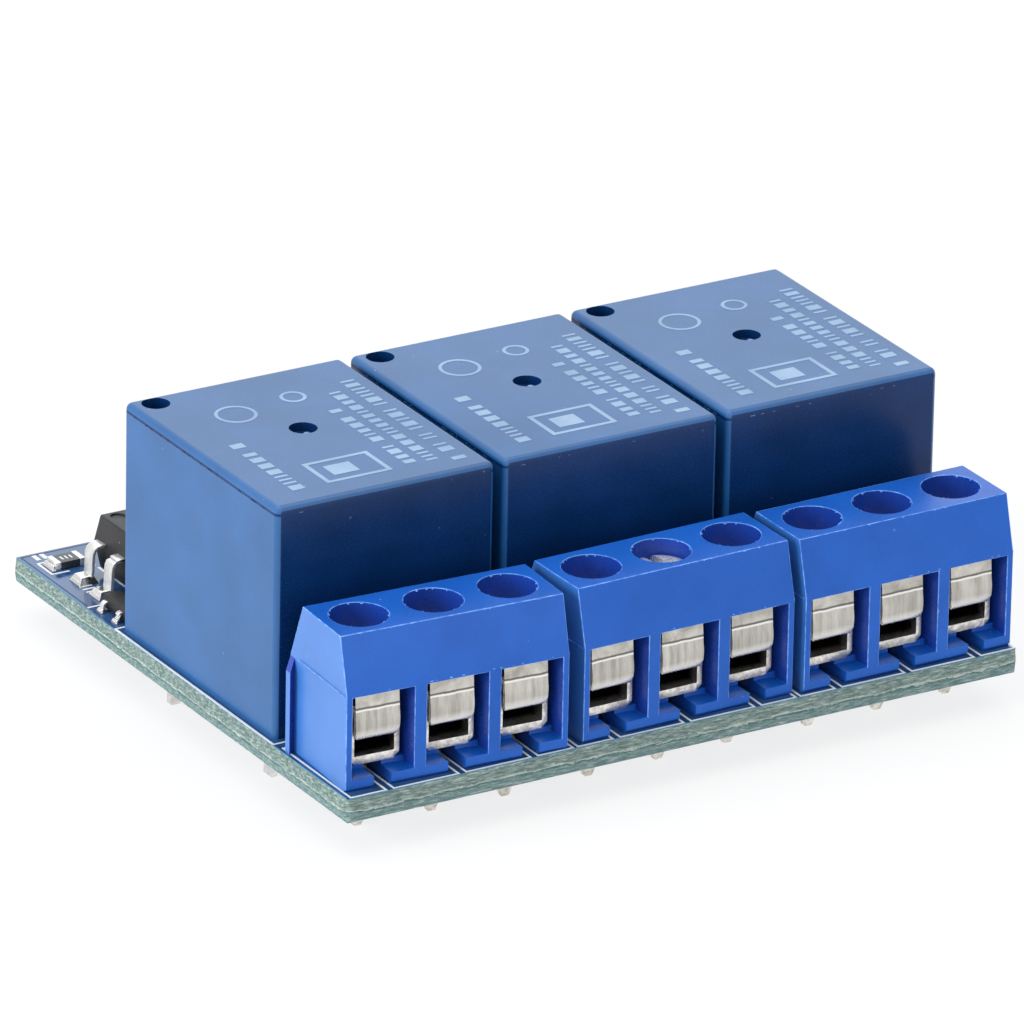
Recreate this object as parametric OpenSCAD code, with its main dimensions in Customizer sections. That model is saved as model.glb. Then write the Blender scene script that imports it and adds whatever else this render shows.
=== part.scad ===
// Three-channel relay module: circuit board, three relays, three screw terminal blocks
// and the driver parts of each channel. Millimetres, +Z up, terminals towards -Y.
// The origin is the middle of the board's outline, on the plane that the solder tails rest on.

/* [Circuit board] */
// Length of the board along the terminal row
board_w = 48.3; // [48:0.1:56]
// Depth of the board from the terminal edge to the back edge
board_d = 42.3; // [42:0.1:50]
// Thickness of the laminate
board_t = 1.6; // [1.2:0.1:2.4]
// How far the broken web of the V-score stands proud of the edge
score_ridge = 0.2; // [0.05:0.05:0.4]
// Corner cut of the outline
board_corner = 0.4; // [0.1:0.1:1]
// Length of the solder tails below the board
tail_drop = 2.35; // [1.6:0.05:4]
// Gap between a pin's corner and the wall of its hole in the board
hole_gap = 0.2; // [0.1:0.05:0.4]
// Width of the solder's ring on the board around each hole
solder_ring = 0.28; // [0.2:0.02:0.4]
// Height of the solder joints
solder_h = 1.1; // [0.8:0.05:1.3]

/* [Channels] */
// Distance from one channel to the next
channel_pitch = 16; // [15.8:0.05:16.6]
// Middle of the first channel, from the left edge of the board
first_channel_x = 8.3; // [8:0.05:9]

/* [Terminal blocks] */
// Front face of the blocks, from the front edge of the board
block_y = 0.62; // [0.3:0.01:1.2]
// Sideways offset of the left block from its channel
block_1_shift = 0; // [-0.1:0.01:0.1]
// Sideways offset of the middle block from its channel
block_2_shift = 0.16; // [0.1:0.01:0.2]
// Sideways offset of the right block from its channel
block_3_shift = 0.09; // [0:0.01:0.15]
// Turn of the left block on the board, in degrees
block_1_turn = -2.8; // [-3:0.1:3]
// Turn of the middle block on the board, in degrees
block_2_turn = 1.3; // [-3:0.1:3]
// Turn of the right block on the board, in degrees
block_3_turn = 0.7; // [-3:0.1:3]
// Distance between two poles
pole_pitch = 5.08; // [5:0.01:5.08]
// Depth of a block, front to back
block_d = 7.5; // [7.2:0.1:8.5]
// Height of a block above the board
block_h = 10; // [9.6:0.1:11]
// Height of the ledge where the sloping faces start
ledge_h = 6.35; // [6.3:0.05:7]
// How far the front slope leans back
front_slope = 0.96; // [0.5:0.05:1.2]
// How far the back slope leans forward
back_slope = 1.52; // [0.6:0.05:1.6]
// Width of a wire window
window_w = 4.24; // [4.1:0.02:4.4]
// Height of the window's top edge
window_h = 6.2; // [6.1:0.05:6.3]
// Depth of the chamber behind a window
chamber_d = 5.6; // [5.4:0.1:6]
// Height of the feet between the windows
foot_h = 0.78; // [0.5:0.02:0.95]
// Gap between the feet of one pole
foot_gap = 1.16; // [1.12:0.02:1.6]
// How far the board-side edge of a foot is raised at the front
foot_relief = 0.18; // [0.05:0.01:0.3]
// Diameter of a screw hole
screw_hole_d = 4; // [3.9:0.05:4.1]
// Screw axis, from the front face of a block
screw_y = 3.47; // [3.4:0.01:3.6]
// How far the hooked rail stands out
rail_out = 0.5; // [0.3:0.05:0.55]
// Width of the hooked rail
rail_w = 0.55; // [0.3:0.05:0.6]
// How far the rail's outer face hooks forward
rail_lean = 0.4; // [0.2:0.05:0.5]
// Height of the rail
rail_h = 6.2; // [4:0.1:6.2]
// Gap between a rail and the groove that takes it
rail_gap = 0.05; // [0.02:0.01:0.1]

/* [Contact frames] */
// Front of a contact frame, from the front face of its block
frame_y = 1.2; // [1.18:0.01:1.3]
// Depth of a contact frame, front to back
frame_d = 4; // [3.8:0.1:4.2]
// Outer width of a contact frame
frame_w = 3.44; // [3.4:0.02:3.6]
// Height of the frame's underside above the board
frame_z = 1.15; // [1.1:0.05:1.2]
// Outer height of a contact frame
frame_h = 4.15; // [4:0.05:4.2]
// Thickness of the frame's sides
frame_side = 0.36; // [0.3:0.02:0.4]
// Thickness of the frame's floor
frame_floor = 0.55; // [0.5:0.05:0.6]
// Thickness of the threaded top
frame_top = 0.9; // [0.8:0.05:1]
// Corner cut of the folded frame
frame_corner = 0.4; // [0.2:0.05:0.5]
// Width and depth of a solder pin
pin_w = 0.95; // [0.7:0.05:1]

/* [Wire guards] */
// Thickness of the guard sheet
guard_t = 0.25; // [0.2:0.01:0.28]
// Gap between the guard and the frame behind it
guard_gap = 0.05; // [0.03:0.01:0.1]
// Width of the guard's front plate
guard_w = 3; // [2.9:0.05:3.2]
// Underside of the pressing lip above the board
guard_z = 2.9; // [2.8:0.05:3]
// Top of the guard above the board
guard_top = 6.1; // [5.9:0.05:6.15]
// Height of the guard's crease above the board
guard_crease_z = 5.05; // [4.8:0.05:5.4]
// Bulge of the front plate below its crease
guard_bulge = 0.2; // [0.1:0.02:0.3]
// Height of the cut corners of the front plate
guard_corner = 0.5; // [0.3:0.05:0.7]

/* [Clamp screws] */
// Diameter of the screw's thread
screw_d = 2.9; // [2.8:0.05:3]
// Diameter of the screw's head
head_d = 3.7; // [3.5:0.05:3.8]
// Height of the screw's head
head_h = 1.4; // [1.2:0.05:1.5]
// Height of the dome on the head
head_dome = 0.35; // [0.2:0.05:0.5]
// Length of the thread below the head
shank_l = 3.45; // [3.4:0.05:3.6]
// Width of the driver slot
slot_w = 0.7; // [0.5:0.05:0.9]
// Depth of the driver slot
slot_depth = 0.8; // [0.5:0.05:0.9]
// Gap between the thread and the hole in the frame
thread_gap = 0.05; // [0.03:0.01:0.1]
// How far the middle screw of the middle block is backed out
raised_screw = 1.15; // [0:0.05:1.2]

/* [Relay cases] */
// Width of a relay along the board
relay_w = 15.38; // [15.2:0.02:15.5]
// Depth of a relay, front to back
relay_d = 19.16; // [19:0.02:19.4]
// Height of a relay above the board
relay_h = 15.38; // [15.2:0.02:16.5]
// Front face of the relays, from the front edge of the board
relay_y = 9.89; // [9.6:0.01:10.2]
// Wall of the case
case_wall = 0.8; // [0.6:0.05:0.9]
// Thickness of the case's top
case_top = 0.9; // [0.7:0.05:1]
// Radius of the case's upright edges
case_round = 0.45; // [0.2:0.05:0.7]
// Depth of the parting line below the top
seam_down = 0.62; // [0.6:0.02:1.6]
// Height and depth of the parting groove
seam_cut = 0.06; // [0.04:0.01:0.1]
// Bevel around the top
top_bevel = 0.5; // [0.3:0.05:0.55]
// Diameter of the vent hole and of the gate dimple
vent_d = 1.8; // [1.6:0.02:1.9]
// Vent hole, from the case's left face
vent_x = 1.6; // [1.5:0.01:2.4]
// Vent hole, from the case's back face
vent_back = 1.18; // [1.16:0.01:2.4]
// Gate dimple, from the case's back face
gate_back = 8.87; // [8:0.01:11]
// Depth of the gate dimple
gate_depth = 0.55; // [0.3:0.05:0.6]

/* [Relay works] */
// Thickness of the base plate
base_t = 1.2; // [1:0.1:1.3]
// Height of the base's feet
base_foot = 0.3; // [0.2:0.05:0.4]
// Gap between the base and the case
base_gap = 0.06; // [0.03:0.01:0.1]
// Distance between the left and right rows of terminals
row_w = 12; // [11.8:0.1:12.2]
// Contact terminals, from the relay's front face
contact_y = 3.4; // [3.3:0.05:3.6]
// Coil pins, from the relay's back face
coil_in = 3.56; // [3.4:0.05:3.8]
// Common terminal, from the relay's back face
common_in = 1.56; // [1.4:0.05:1.65]
// Thickness of the iron yoke
yoke_t = 1.2; // [1:0.1:1.3]
// Width of the yoke
yoke_w = 10; // [9:0.2:10.4]
// Top edge of the yoke, where the armature tips
yoke_top = 11.2; // [11:0.1:11.3]
// Gap between the contact arms and the coil former
arm_gap = 1; // [0.6:0.05:1.2]
// Diameter of the iron core
core_d = 4; // [3.4:0.1:4.4]
// Diameter of the core's pole face
pole_d = 6.6; // [6:0.1:7.4]
// Thickness of the pole face
pole_t = 0.45; // [0.3:0.05:0.5]
// Wall of the bobbin around the core
bobbin_wall = 0.8; // [0.6:0.05:1]
// Width of the bobbin's flanges
flange_w = 10.4; // [10:0.1:10.6]
// Thickness of the bobbin's flanges
flange_t = 0.7; // [0.5:0.05:0.9]
// Winding, from the rims of the coil former
winding_in = 0.3; // [0.2:0.05:1]
// Thickness of the armature
armature_t = 1; // [0.8:0.05:1.05]
// Width of the armature
armature_w = 9.4; // [8:0.2:10]
// Air gap angle of the resting armature, in degrees
armature_open = 2.5; // [1:0.1:2.6]
// Air left under the pulled armature
armature_air = 0.05; // [0.02:0.01:0.06]
// Thickness of the contact leaf
leaf_t = 0.3; // [0.2:0.02:0.3]
// Width of the contact leaf
leaf_w = 4; // [3:0.1:5]
// Diameter of the contact buttons
button_d = 2.2; // [1.6:0.1:2.6]
// Thickness of a contact button
button_t = 0.35; // [0.3:0.05:0.35]
// Thickness of the terminal strips
strip_t = 0.4; // [0.3:0.05:0.4]
// Width of the contact terminals
strip_w = 1; // [0.8:0.05:1.1]
// Side of the square coil pins
coil_pin = 0.6; // [0.5:0.05:0.7]

/* [Driver parts] */
// Optocoupler axis, from the middle of its channel
opto_x = -1.7; // [-1.8:0.05:-1.5]
// Optocoupler axis, from the back edge of the board
opto_back = 6.8; // [6.7:0.05:7]
// Width of an optocoupler across its leads
opto_w = 6.5; // [6.2:0.05:6.6]
// Length of an optocoupler along a lead row
opto_l = 4.6; // [4.4:0.05:4.8]
// Height of an optocoupler's moulding
opto_h = 3.6; // [3.2:0.05:3.8]
// Air under the optocoupler
opto_lift = 0.4; // [0.2:0.05:0.5]
// Lead pitch of an optocoupler
opto_pitch = 2.54; // [2.5:0.01:2.56]
// Draft of the mouldings, as run for each side
opto_draft = 0.3; // [0.2:0.05:0.4]
// How far the leads reach out from the moulding
opto_reach = 1.9; // [1.6:0.05:2]
// Transistor axis, from the middle of its channel
transistor_x = -6.55; // [-6.6:0.05:-6.4]
// Row of the transistors and diodes, from the back edge of the board
driver_back = 11.2; // [11.15:0.05:11.3]
// Width of a transistor's moulding
transistor_w = 1.3; // [1.2:0.05:1.4]
// Length of a transistor along its lead row
transistor_l = 2.9; // [2.8:0.05:3]
// Height of a transistor's moulding
transistor_h = 0.95; // [0.85:0.05:1.05]
// Distance from a transistor's middle to its outer leads
transistor_pitch = 0.95; // [0.9:0.01:1]
// How far a transistor's leads reach out
transistor_reach = 0.55; // [0.45:0.05:0.6]
// Length of a diode's moulding
diode_l = 4.3; // [4.1:0.05:4.6]
// Width of a diode's moulding
diode_w = 2.6; // [2.4:0.05:2.8]
// Height of a diode's moulding
diode_h = 2.1; // [1.9:0.05:2.3]
// Width of a diode's end straps
diode_strap = 1.5; // [1.2:0.05:1.7]
// Diode axis, from the middle of its channel
diode_x = 1.2; // [0.9:0.05:2]
// Base resistor, from the middle of its channel
base_resistor_x = -3.2; // [-3.4:0.05:-3]
// Row of the chip parts, from the back edge of the board
chip_back = 2.7; // [2.6:0.05:2.8]
// Length of a chip part
chip_l = 2.1; // [1.9:0.05:2.2]
// Width of a chip part
chip_w = 1.25; // [1.1:0.05:1.3]
// Height of a chip part
chip_h = 0.55; // [0.4:0.05:0.7]
// Air under the small mouldings
chip_lift = 0.1; // [0.05:0.01:0.15]

/* [Pin header] */
// Number of pins
header_pins_n = 5; // [3:1:5]
// Distance between two pins
header_pitch = 2.54; // [2.5:0.01:2.54]
// Middle of the header, from the middle of the second channel
header_shift = -0.15; // [-0.3:0.05:0.3]
// Header row, from the back edge of the board
header_back = 1.7; // [1.5:0.05:1.9]
// Side of a header pin
header_pin = 0.64; // [0.6:0.01:0.66]
// Height of the header's moulding
header_h = 2.5; // [2.2:0.1:2.6]
// Top of the pins above the board
header_pin_h = 8.4; // [8:0.1:9]

/* [Hidden] */
relay_parts = ["case", "base", "bobbin", "winding", "core", "yoke", "armature",
               "moving_contact", "terminals"];

$fn = 48;
channels = [0 : 2];
poles = [-1 : 1];
far = 60;          // longer than any cut has to reach
lap = 0.01;        // overlap of solids that are fused

board_top = tail_drop + board_t;
block_turns = [block_1_turn, block_2_turn, block_3_turn];
block_shifts = [block_1_shift, block_2_shift, block_3_shift];
block_w = 3 * pole_pitch;
frame_top_z = frame_z + frame_h;
opening_w = frame_w - 2 * frame_side;
guard_lip_w = opening_w - 2 * guard_gap;
guard_y = frame_y - guard_gap - guard_t;
head_z = guard_z + guard_t + shank_l;

row_x = row_w / 2;
inner_w = relay_w - 2 * case_wall;
inner_d = relay_d - 2 * case_wall;
base_top = base_foot + base_t;
common_y = relay_d - common_in;
coil_pin_y = relay_d - coil_in;
yoke_back = common_y - strip_t / 2;
flange_front = contact_y + strip_w + arm_gap;
flange_back = yoke_back - yoke_t - base_gap;
flange_d = flange_back - flange_front;
coil_y = (flange_front + flange_back) / 2;
winding_d = min(flange_d, flange_w) - 2 * winding_in;
yoke_front = coil_y - pole_d / 2;
pole_z = yoke_top - armature_air;
flange_top = pole_z - pole_t;
flange_bottom = base_top + yoke_t;
leaf_z = yoke_top + armature_t;
leaf_front = contact_y - button_d / 2 - 0.1;
button_lift = sin(armature_open) * (yoke_back - contact_y + button_d / 2);
strip_z = leaf_z - button_t - armature_air - button_t - strip_t;
nc_button_z = leaf_z + leaf_t + button_t + button_lift + armature_air;

header_x = first_channel_x + channel_pitch + header_shift;
chip_spots = [[-5.9, 0], [3.6, 0], [25.5, 0], [33.1, 0]];
led_spots = [[-1.7, 0], [7.3, 0], [29.3, 0], [36.8, 0]];

// Puts its children on the board's top face, measured from the front-left corner.
module on_board(x, y) {
    translate([x - board_w / 2, y - board_d / 2, board_top]) children();
}

// Puts its children on a channel's centre line, at a distance from the front edge.
module on_channel(c, y) {
    on_board(first_channel_x + c * channel_pitch, y) children();
}

// A block's own frame: middle of its front edge, turned about the block's middle.
module at_block(c) {
    on_channel(c, block_y)
        translate([block_shifts[c], block_d / 2, 0])
            rotate([0, 0, block_turns[c]])
                translate([0, -block_d / 2, 0]) children();
}

// One pole's own frame: under its screw axis, on the board.
module at_pole(c, p) {
    at_block(c) translate([p * pole_pitch, screw_y, 0]) children();
}

// A relay's own frame: middle of its front edge.
module at_relay(c) {
    on_channel(c, relay_y) children();
}

// A box centred on X, with its other two faces given.
module bar(w, y0, y1, z0, z1) {
    translate([-w / 2, y0, z0]) cube([w, y1 - y0, z1 - z0]);
}

// Extrudes a YZ outline along X, centred.
module along_x(w) {
    rotate([90, 0, 90]) translate([0, 0, -w / 2]) linear_extrude(w) children();
}

// Extrudes an XZ outline along Y, from y0 to y1.
module along_y(y0, y1) {
    translate([0, y1, 0]) rotate([90, 0, 0]) linear_extrude(y1 - y0) children();
}

// A rectangle from the origin's middle with cut corners.
function cut_rect(w, h, c) =
    [[-w / 2 + c, 0], [w / 2 - c, 0], [w / 2, c], [w / 2, h - c],
     [w / 2 - c, h], [-w / 2 + c, h], [-w / 2, h - c], [-w / 2, c]];

// ---------------------------------------------------------------- pins and holes

module relay_pin_places(c) {
    at_relay(c) {
        for (s = [-1, 1]) {
            translate([s * row_x, contact_y, 0]) children();
            translate([s * row_x, coil_pin_y, 0]) children();
        }
        translate([0, common_y, 0]) children();
    }
}

module header_pin_places() {
    for (i = [0 : header_pins_n - 1])
        on_board(header_x + (i - (header_pins_n - 1) / 2) * header_pitch, board_d - header_back)
            children();
}

function pin_hole_d(side) = sqrt(2) * side + 2 * hole_gap;

module pin_holes(d) {
    translate([0, 0, -board_t - 1]) cylinder(d = d, h = board_t + 2);
}

// ---------------------------------------------------------------- circuit board

module pcb() {
    edge = [[0, 0], [-score_ridge, board_t * 0.4], [-score_ridge, board_t * 0.55], [0, board_t]];
    color("seagreen")
    difference() {
        intersection() {
            translate([0, 0, tail_drop])
                along_x(far * 2)
                    polygon([for (q = edge) [-board_d / 2 + score_ridge + q[0], q[1]],
                             for (i = [3 : -1 : 0])
                                 [board_d / 2 - score_ridge - edge[i][0], edge[i][1]]]);
            translate([0, 0, tail_drop])
                along_y(-far, far)
                    polygon([for (q = edge) [-board_w / 2 + score_ridge + q[0], q[1]],
                             for (i = [3 : -1 : 0])
                                 [board_w / 2 - score_ridge - edge[i][0], edge[i][1]]]);
            translate([0, -board_d / 2, 0])
                linear_extrude(board_top)
                    polygon(cut_rect(board_w, board_d, board_corner));
        }
        for (c = channels) {
            for (p = poles) at_pole(c, p) pin_holes(pin_hole_d(pin_w));
            relay_pin_places(c) pin_holes(pin_hole_d(strip_w));
        }
        header_pin_places() pin_holes(pin_hole_d(header_pin));
    }
}

// ---------------------------------------------------------------- terminal blocks

module housing_profile() {
    polygon([[0, 0], [block_d, 0], [block_d, ledge_h], [block_d - back_slope, block_h],
             [front_slope, block_h], [0, ledge_h]]);
}

// Plan of the hooked rail on the left end, and of the groove for it on the right end.
module hook(grow) {
    polygon([[lap, -rail_w - grow], [-rail_out - grow, -rail_w - rail_lean - grow],
             [-rail_out - grow, -rail_lean + grow], [lap, grow]]);
}

// Opening of one pole: window, chamber, seat for the frame and the slot between the feet.
module pole_cut() {
    chamber_back = chamber_d - screw_y;
    bar(window_w, -far, frame_y - screw_y + 0.2, foot_h, window_h);
    bar(window_w, -screw_y, chamber_back, frame_z, window_h);
    bar(foot_gap, -far, pin_w / 2 + 0.4, -lap, foot_h + lap);
    bar(foot_gap, -screw_y, pin_w / 2 + 0.4, foot_h, frame_z + lap);
    translate([0, 0, window_h - 1]) cylinder(d = screw_hole_d, h = far);
}

module terminal_housing(c) {
    color("royalblue")
    at_block(c) {
        difference() {
            along_x(block_w) housing_profile();
            for (p = poles) translate([p * pole_pitch, screw_y, 0]) pole_cut();
            bar(block_w + 1, -1, foot_relief, -1, foot_relief);
            translate([block_w / 2 + lap, block_d, -1])
                linear_extrude(rail_h + rail_gap + 1) hook(rail_gap);
        }
        difference() {
            translate([-block_w / 2, block_d, 0]) linear_extrude(rail_h) hook(0);
            along_y(-1, block_d + 1)
                polygon([for (q = [[0, 0], [-2 * rail_out, 0], [-2 * rail_out, -3 * rail_out]])
                             [-block_w / 2 + q[0], rail_h + q[1]]]);
        }
    }
}

module contact_frame() {
    y0 = frame_y - screw_y;
    difference() {
        translate([0, 0, frame_z])
            along_y(y0, y0 + frame_d) polygon(cut_rect(frame_w, frame_h, frame_corner));
        bar(opening_w, y0 - 1, y0 + frame_d + 1, frame_z + frame_floor, frame_top_z - frame_top);
        translate([0, 0, frame_z + frame_floor])
            cylinder(d = screw_d + 2 * thread_gap, h = far);
    }
    bar(pin_w, -pin_w / 2, pin_w / 2, -board_top, frame_z + lap);
}

module contact_frames(c) {
    color("silver") for (p = poles) at_pole(c, p) contact_frame();
}

module clamp_screw(c, p) {
    lift = c == 1 && p == 0 ? raised_screw : 0;
    color("gainsboro")
    at_pole(c, p)
        translate([0, 0, head_z + lift])
            difference() {
                rotate_extrude() polygon(screw_profile());
                bar(slot_w, -head_d, head_d, head_h - slot_depth, head_h + 1);
                bar(head_d * 0.6, -slot_w / 2, slot_w / 2, head_h - slot_depth, head_h + 1);
            }
}

// Half section of a screw: thread, head and the dome on it.
function screw_profile() =
    concat([[0, -shank_l], [screw_d / 2, -shank_l], [screw_d / 2, 0], [head_d / 2, 0]],
           [for (a = [0 : 22.5 : 90])
               [head_d / 2 * (0.3 + 0.7 * cos(a)), head_h - head_dome * (1 - sin(a))]],
           [[0, head_h]]);

// Side line of a guard plate from its top edge down to the lip, moved back by y.
function guard_line(y, upward = false) =
    let (drop = guard_crease_z - guard_z,
         line = [[y, guard_top], [y, guard_crease_z],
                 [y - guard_bulge, guard_crease_z - 0.45 * drop],
                 [y - guard_bulge, guard_crease_z - 0.65 * drop], [y, guard_z]])
    upward ? [for (i = [len(line) - 1 : -1 : 0]) line[i]] : line;

module wire_guard(c, p) {
    lip_back = frame_y + frame_d - 0.3;
    color("lightgray")
    at_pole(c, p)
        translate([0, guard_y - screw_y, 0]) {
            intersection() {
                along_y(-guard_bulge, guard_t)
                    polygon([[-guard_lip_w / 2, guard_z], [guard_lip_w / 2, guard_z],
                             [guard_w / 2, guard_z + guard_corner], [guard_w / 2, guard_top],
                             [-guard_w / 2, guard_top], [-guard_w / 2, guard_z + guard_corner]]);
                along_x(guard_w + 1)
                    polygon(concat(guard_line(0), guard_line(guard_t, true)));
            }
            bar(guard_lip_w, 0, lip_back - guard_y, guard_z, guard_z + guard_t);
        }
}

// ---------------------------------------------------------------- relays

// A rounded upright block, centred on X.
module rounded_block(w, d, h, r) {
    bar(w - 2 * r, 0, d, 0, h);
    bar(w, r, d - r, 0, h);
    for (x = [-w / 2 + r, w / 2 - r])
        for (y = [r, d - r])
            translate([x, y, 0]) cylinder(r = r, h = h);
}

// The top bevel's outline: two short chamfers that follow a round.
function bevel_profile(w, h, b) =
    [[-w / 2, -1], [w / 2, -1], [w / 2, h - b], [w / 2 - b * 0.3, h - b * 0.3], [w / 2 - b, h],
     [-w / 2 + b, h], [-w / 2 + b * 0.3, h - b * 0.3], [-w / 2, h - b]];

module case_outside() {
    seam_z = relay_h - seam_down;
    intersection() {
        difference() {
            rounded_block(relay_w, relay_d, relay_h, case_round);
            difference() {
                bar(relay_w + 1, -1, relay_d + 1, seam_z, seam_z + seam_cut);
                bar(relay_w - 2 * seam_cut, seam_cut, relay_d - seam_cut,
                    seam_z - 1, seam_z + 1);
            }
        }
        along_y(-1, relay_d + 1) polygon(bevel_profile(relay_w, relay_h, top_bevel));
        translate([0, relay_d / 2, 0])
            along_x(relay_w + 2) polygon(bevel_profile(relay_d, relay_h, top_bevel));
    }
}

module relay_case(c) {
    color("steelblue")
    at_relay(c)
        difference() {
            case_outside();
            bar(inner_w, case_wall, relay_d - case_wall, -1, relay_h - case_top);
            translate([-relay_w / 2 + vent_x, relay_d - vent_back, 0])
                cylinder(d = vent_d, h = relay_h + 1);
            translate([0, relay_d - gate_back, relay_h - gate_depth])
                cylinder(d = vent_d, h = gate_depth + 1);
        }
}

module relay_base(c) {
    gap = base_gap;
    color("midnightblue")
    at_relay(c)
        difference() {
            union() {
                bar(inner_w - 2 * gap, case_wall + gap, relay_d - case_wall - gap,
                    base_foot, base_top);
                for (s = [-1, 1])
                    for (y = [case_wall + 1, relay_d - case_wall - 2])
                        translate([s * row_x * 0.5, y, 0])
                            bar(1.2, 0, 1.2, 0, base_foot + lap);
            }
            terminal_slots();
            bar(core_d, coil_y - core_d / 2, coil_y + core_d / 2, base_top - 0.3, base_top + 1);
        }
}

// The terminals' own sections, to cut the base and the solder to them.
module terminal_slots() {
    for (s = [-1, 1]) {
        translate([s * row_x, contact_y, 0]) bar(strip_t, -strip_w / 2, strip_w / 2, -far, far);
        translate([s * row_x, coil_pin_y, 0])
            bar(coil_pin, -coil_pin / 2, coil_pin / 2, -far, far);
    }
    translate([0, common_y, 0]) bar(strip_w, -strip_t / 2, strip_t / 2, -far, far);
}

module relay_yoke(c) {
    color("dimgray")
    at_relay(c)
        difference() {
            union() {
                bar(yoke_w, yoke_front, yoke_back, base_top, base_top + yoke_t);
                bar(yoke_w, yoke_back - yoke_t, yoke_back, base_top, yoke_top);
            }
            translate([0, coil_y, 0]) cylinder(d = core_d, h = base_top + yoke_t + 1);
        }
}

module relay_core(c) {
    color("gray")
    at_relay(c)
        translate([0, coil_y, 0]) {
            translate([0, 0, base_top]) cylinder(d = core_d, h = pole_z - base_top);
            translate([0, 0, flange_top]) cylinder(d = pole_d, h = pole_t);
        }
}

module relay_bobbin(c) {
    color("ivory")
    at_relay(c)
        translate([0, coil_y, 0])
            difference() {
                union() {
                    for (z = [flange_bottom, flange_top - flange_t])
                        bar(flange_w, -flange_d / 2, flange_d / 2, z, z + flange_t);
                    translate([0, 0, flange_bottom])
                        cylinder(d = core_d + 2 * bobbin_wall, h = flange_top - flange_bottom);
                }
                cylinder(d = core_d, h = far);
            }
}

module relay_winding(c) {
    z0 = flange_bottom + flange_t;
    color("peru")
    at_relay(c)
        translate([0, coil_y, z0])
            difference() {
                cylinder(d = winding_d, h = flange_top - flange_t - z0);
                translate([0, 0, -1]) cylinder(d = core_d + 2 * bobbin_wall, h = far);
            }
}

// Tips its children open about the yoke's top edge, as the resting armature stands.
module tipped_open() {
    translate([0, yoke_back, yoke_top])
        rotate([-armature_open, 0, 0])
            translate([0, -yoke_back, -yoke_top]) children();
}

module relay_armature(c) {
    color("darkgray")
    at_relay(c)
        tipped_open()
            bar(armature_w, yoke_front, yoke_back, yoke_top, leaf_z);
}

module relay_moving_contact(c) {
    tail_gap = 0.28;
    tail_y = yoke_back + tail_gap;
    color("goldenrod")
    at_relay(c)
        tipped_open() {
            bar(leaf_w, leaf_front, tail_y + leaf_t * 0.6, leaf_z, leaf_z + leaf_t);
            bar(leaf_w, tail_y, tail_y + leaf_t * 0.6, yoke_top - 1.2, leaf_z + lap);
            translate([0, contact_y, leaf_z - button_t])
                cylinder(d = button_d, h = leaf_t + 2 * button_t);
        }
}

// One contact terminal: upright strip, arm over the middle and its button.
module contact_terminal(s, arm_z, button_z) {
    arm_top = arm_z + strip_t;
    translate([s * row_x, contact_y, 0])
        bar(strip_t, -strip_w / 2, strip_w / 2, -board_top, arm_top);
    translate([s * (row_x + strip_t / 2 - button_d / 2) / 2, contact_y, 0])
        bar(row_x + strip_t / 2 + button_d / 2, -strip_w, strip_w, arm_z, arm_top);
    translate([0, contact_y, button_z]) cylinder(d = button_d, h = button_t + lap);
}

module relay_terminals(c) {
    color("khaki")
    at_relay(c) {
        contact_terminal(1, strip_z, strip_z + strip_t - lap);
        contact_terminal(-1, nc_button_z + button_t, nc_button_z);
        for (s = [-1, 1])
            translate([s * row_x, coil_pin_y, 0])
                bar(coil_pin, -coil_pin / 2, coil_pin / 2, -board_top, flange_bottom);
        translate([0, common_y, 0])
            bar(strip_w, -strip_t / 2, strip_t / 2, -board_top, yoke_top / 2);
    }
}

// ---------------------------------------------------------------- driver parts

// A moulded body with drafted sides, parted at half height.
module drafted_body(w, d, h, draft) {
    side = [[-1, 0], [0, 0.5], [-1, 1]];
    intersection() {
        along_y(-d / 2, d / 2)
            polygon([for (q = side) [w / 2 + draft * q[0], h * q[1]],
                     for (i = [2 : -1 : 0]) [-w / 2 - draft * side[i][0], h * side[i][1]]]);
        along_x(w)
            polygon([for (q = side) [d / 2 + draft * q[0], h * q[1]],
                     for (i = [2 : -1 : 0]) [-d / 2 - draft * side[i][0], h * side[i][1]]]);
    }
}

// A gull-wing lead: out of the body, down and out again onto the board.
module gull_lead(reach, top, t, w, foot) {
    bend = reach - foot;
    rotate([90, 0, 0])
        translate([0, 0, -w / 2])
            linear_extrude(w)
                polygon([[-lap * 20, top - t], [bend - t, top - t], [bend, top - 2 * t],
                         [bend, 0], [reach, 0], [reach, t], [bend + t, t],
                         [bend + t, top - t], [bend, top], [-lap * 20, top]]);
}

module optocoupler() {
    lead_t = 0.25;
    translate([0, 0, opto_lift]) drafted_body(opto_w, opto_l, opto_h, opto_draft);
    for (s = [0, 1])
        mirror([s, 0, 0])
            for (y = [-opto_pitch / 2, opto_pitch / 2])
                translate([opto_w / 2, y, 0])
                    gull_lead(opto_reach, opto_lift + opto_h / 2 + lead_t / 2, lead_t, 1.1, 1);
}

module optocouplers() {
    color([0.22, 0.22, 0.23])
    for (c = channels)
        on_channel(c, board_d - opto_back) translate([opto_x, 0, 0])
            difference() {
                optocoupler();
                translate([-opto_w / 2 + 1.15, opto_l / 2 - 1.1, opto_lift + opto_h - 0.12])
                    cylinder(d = 1, h = 1);
            }
}

module transistor() {
    w = transistor_w;
    lead_t = transistor_h * 0.16;
    lead_z = chip_lift + transistor_h * 0.58;
    translate([0, 0, chip_lift])
        drafted_body(w, transistor_l, transistor_h, transistor_h * 0.1);
    for (side = [[-w / 2, -transistor_pitch, 1], [-w / 2, transistor_pitch, 1], [w / 2, 0, 0]])
        translate([side[0], side[1], 0])
            mirror([side[2], 0, 0])
                gull_lead(transistor_reach, lead_z, lead_t, transistor_pitch * 0.44,
                          transistor_reach * 0.55);
}

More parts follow.
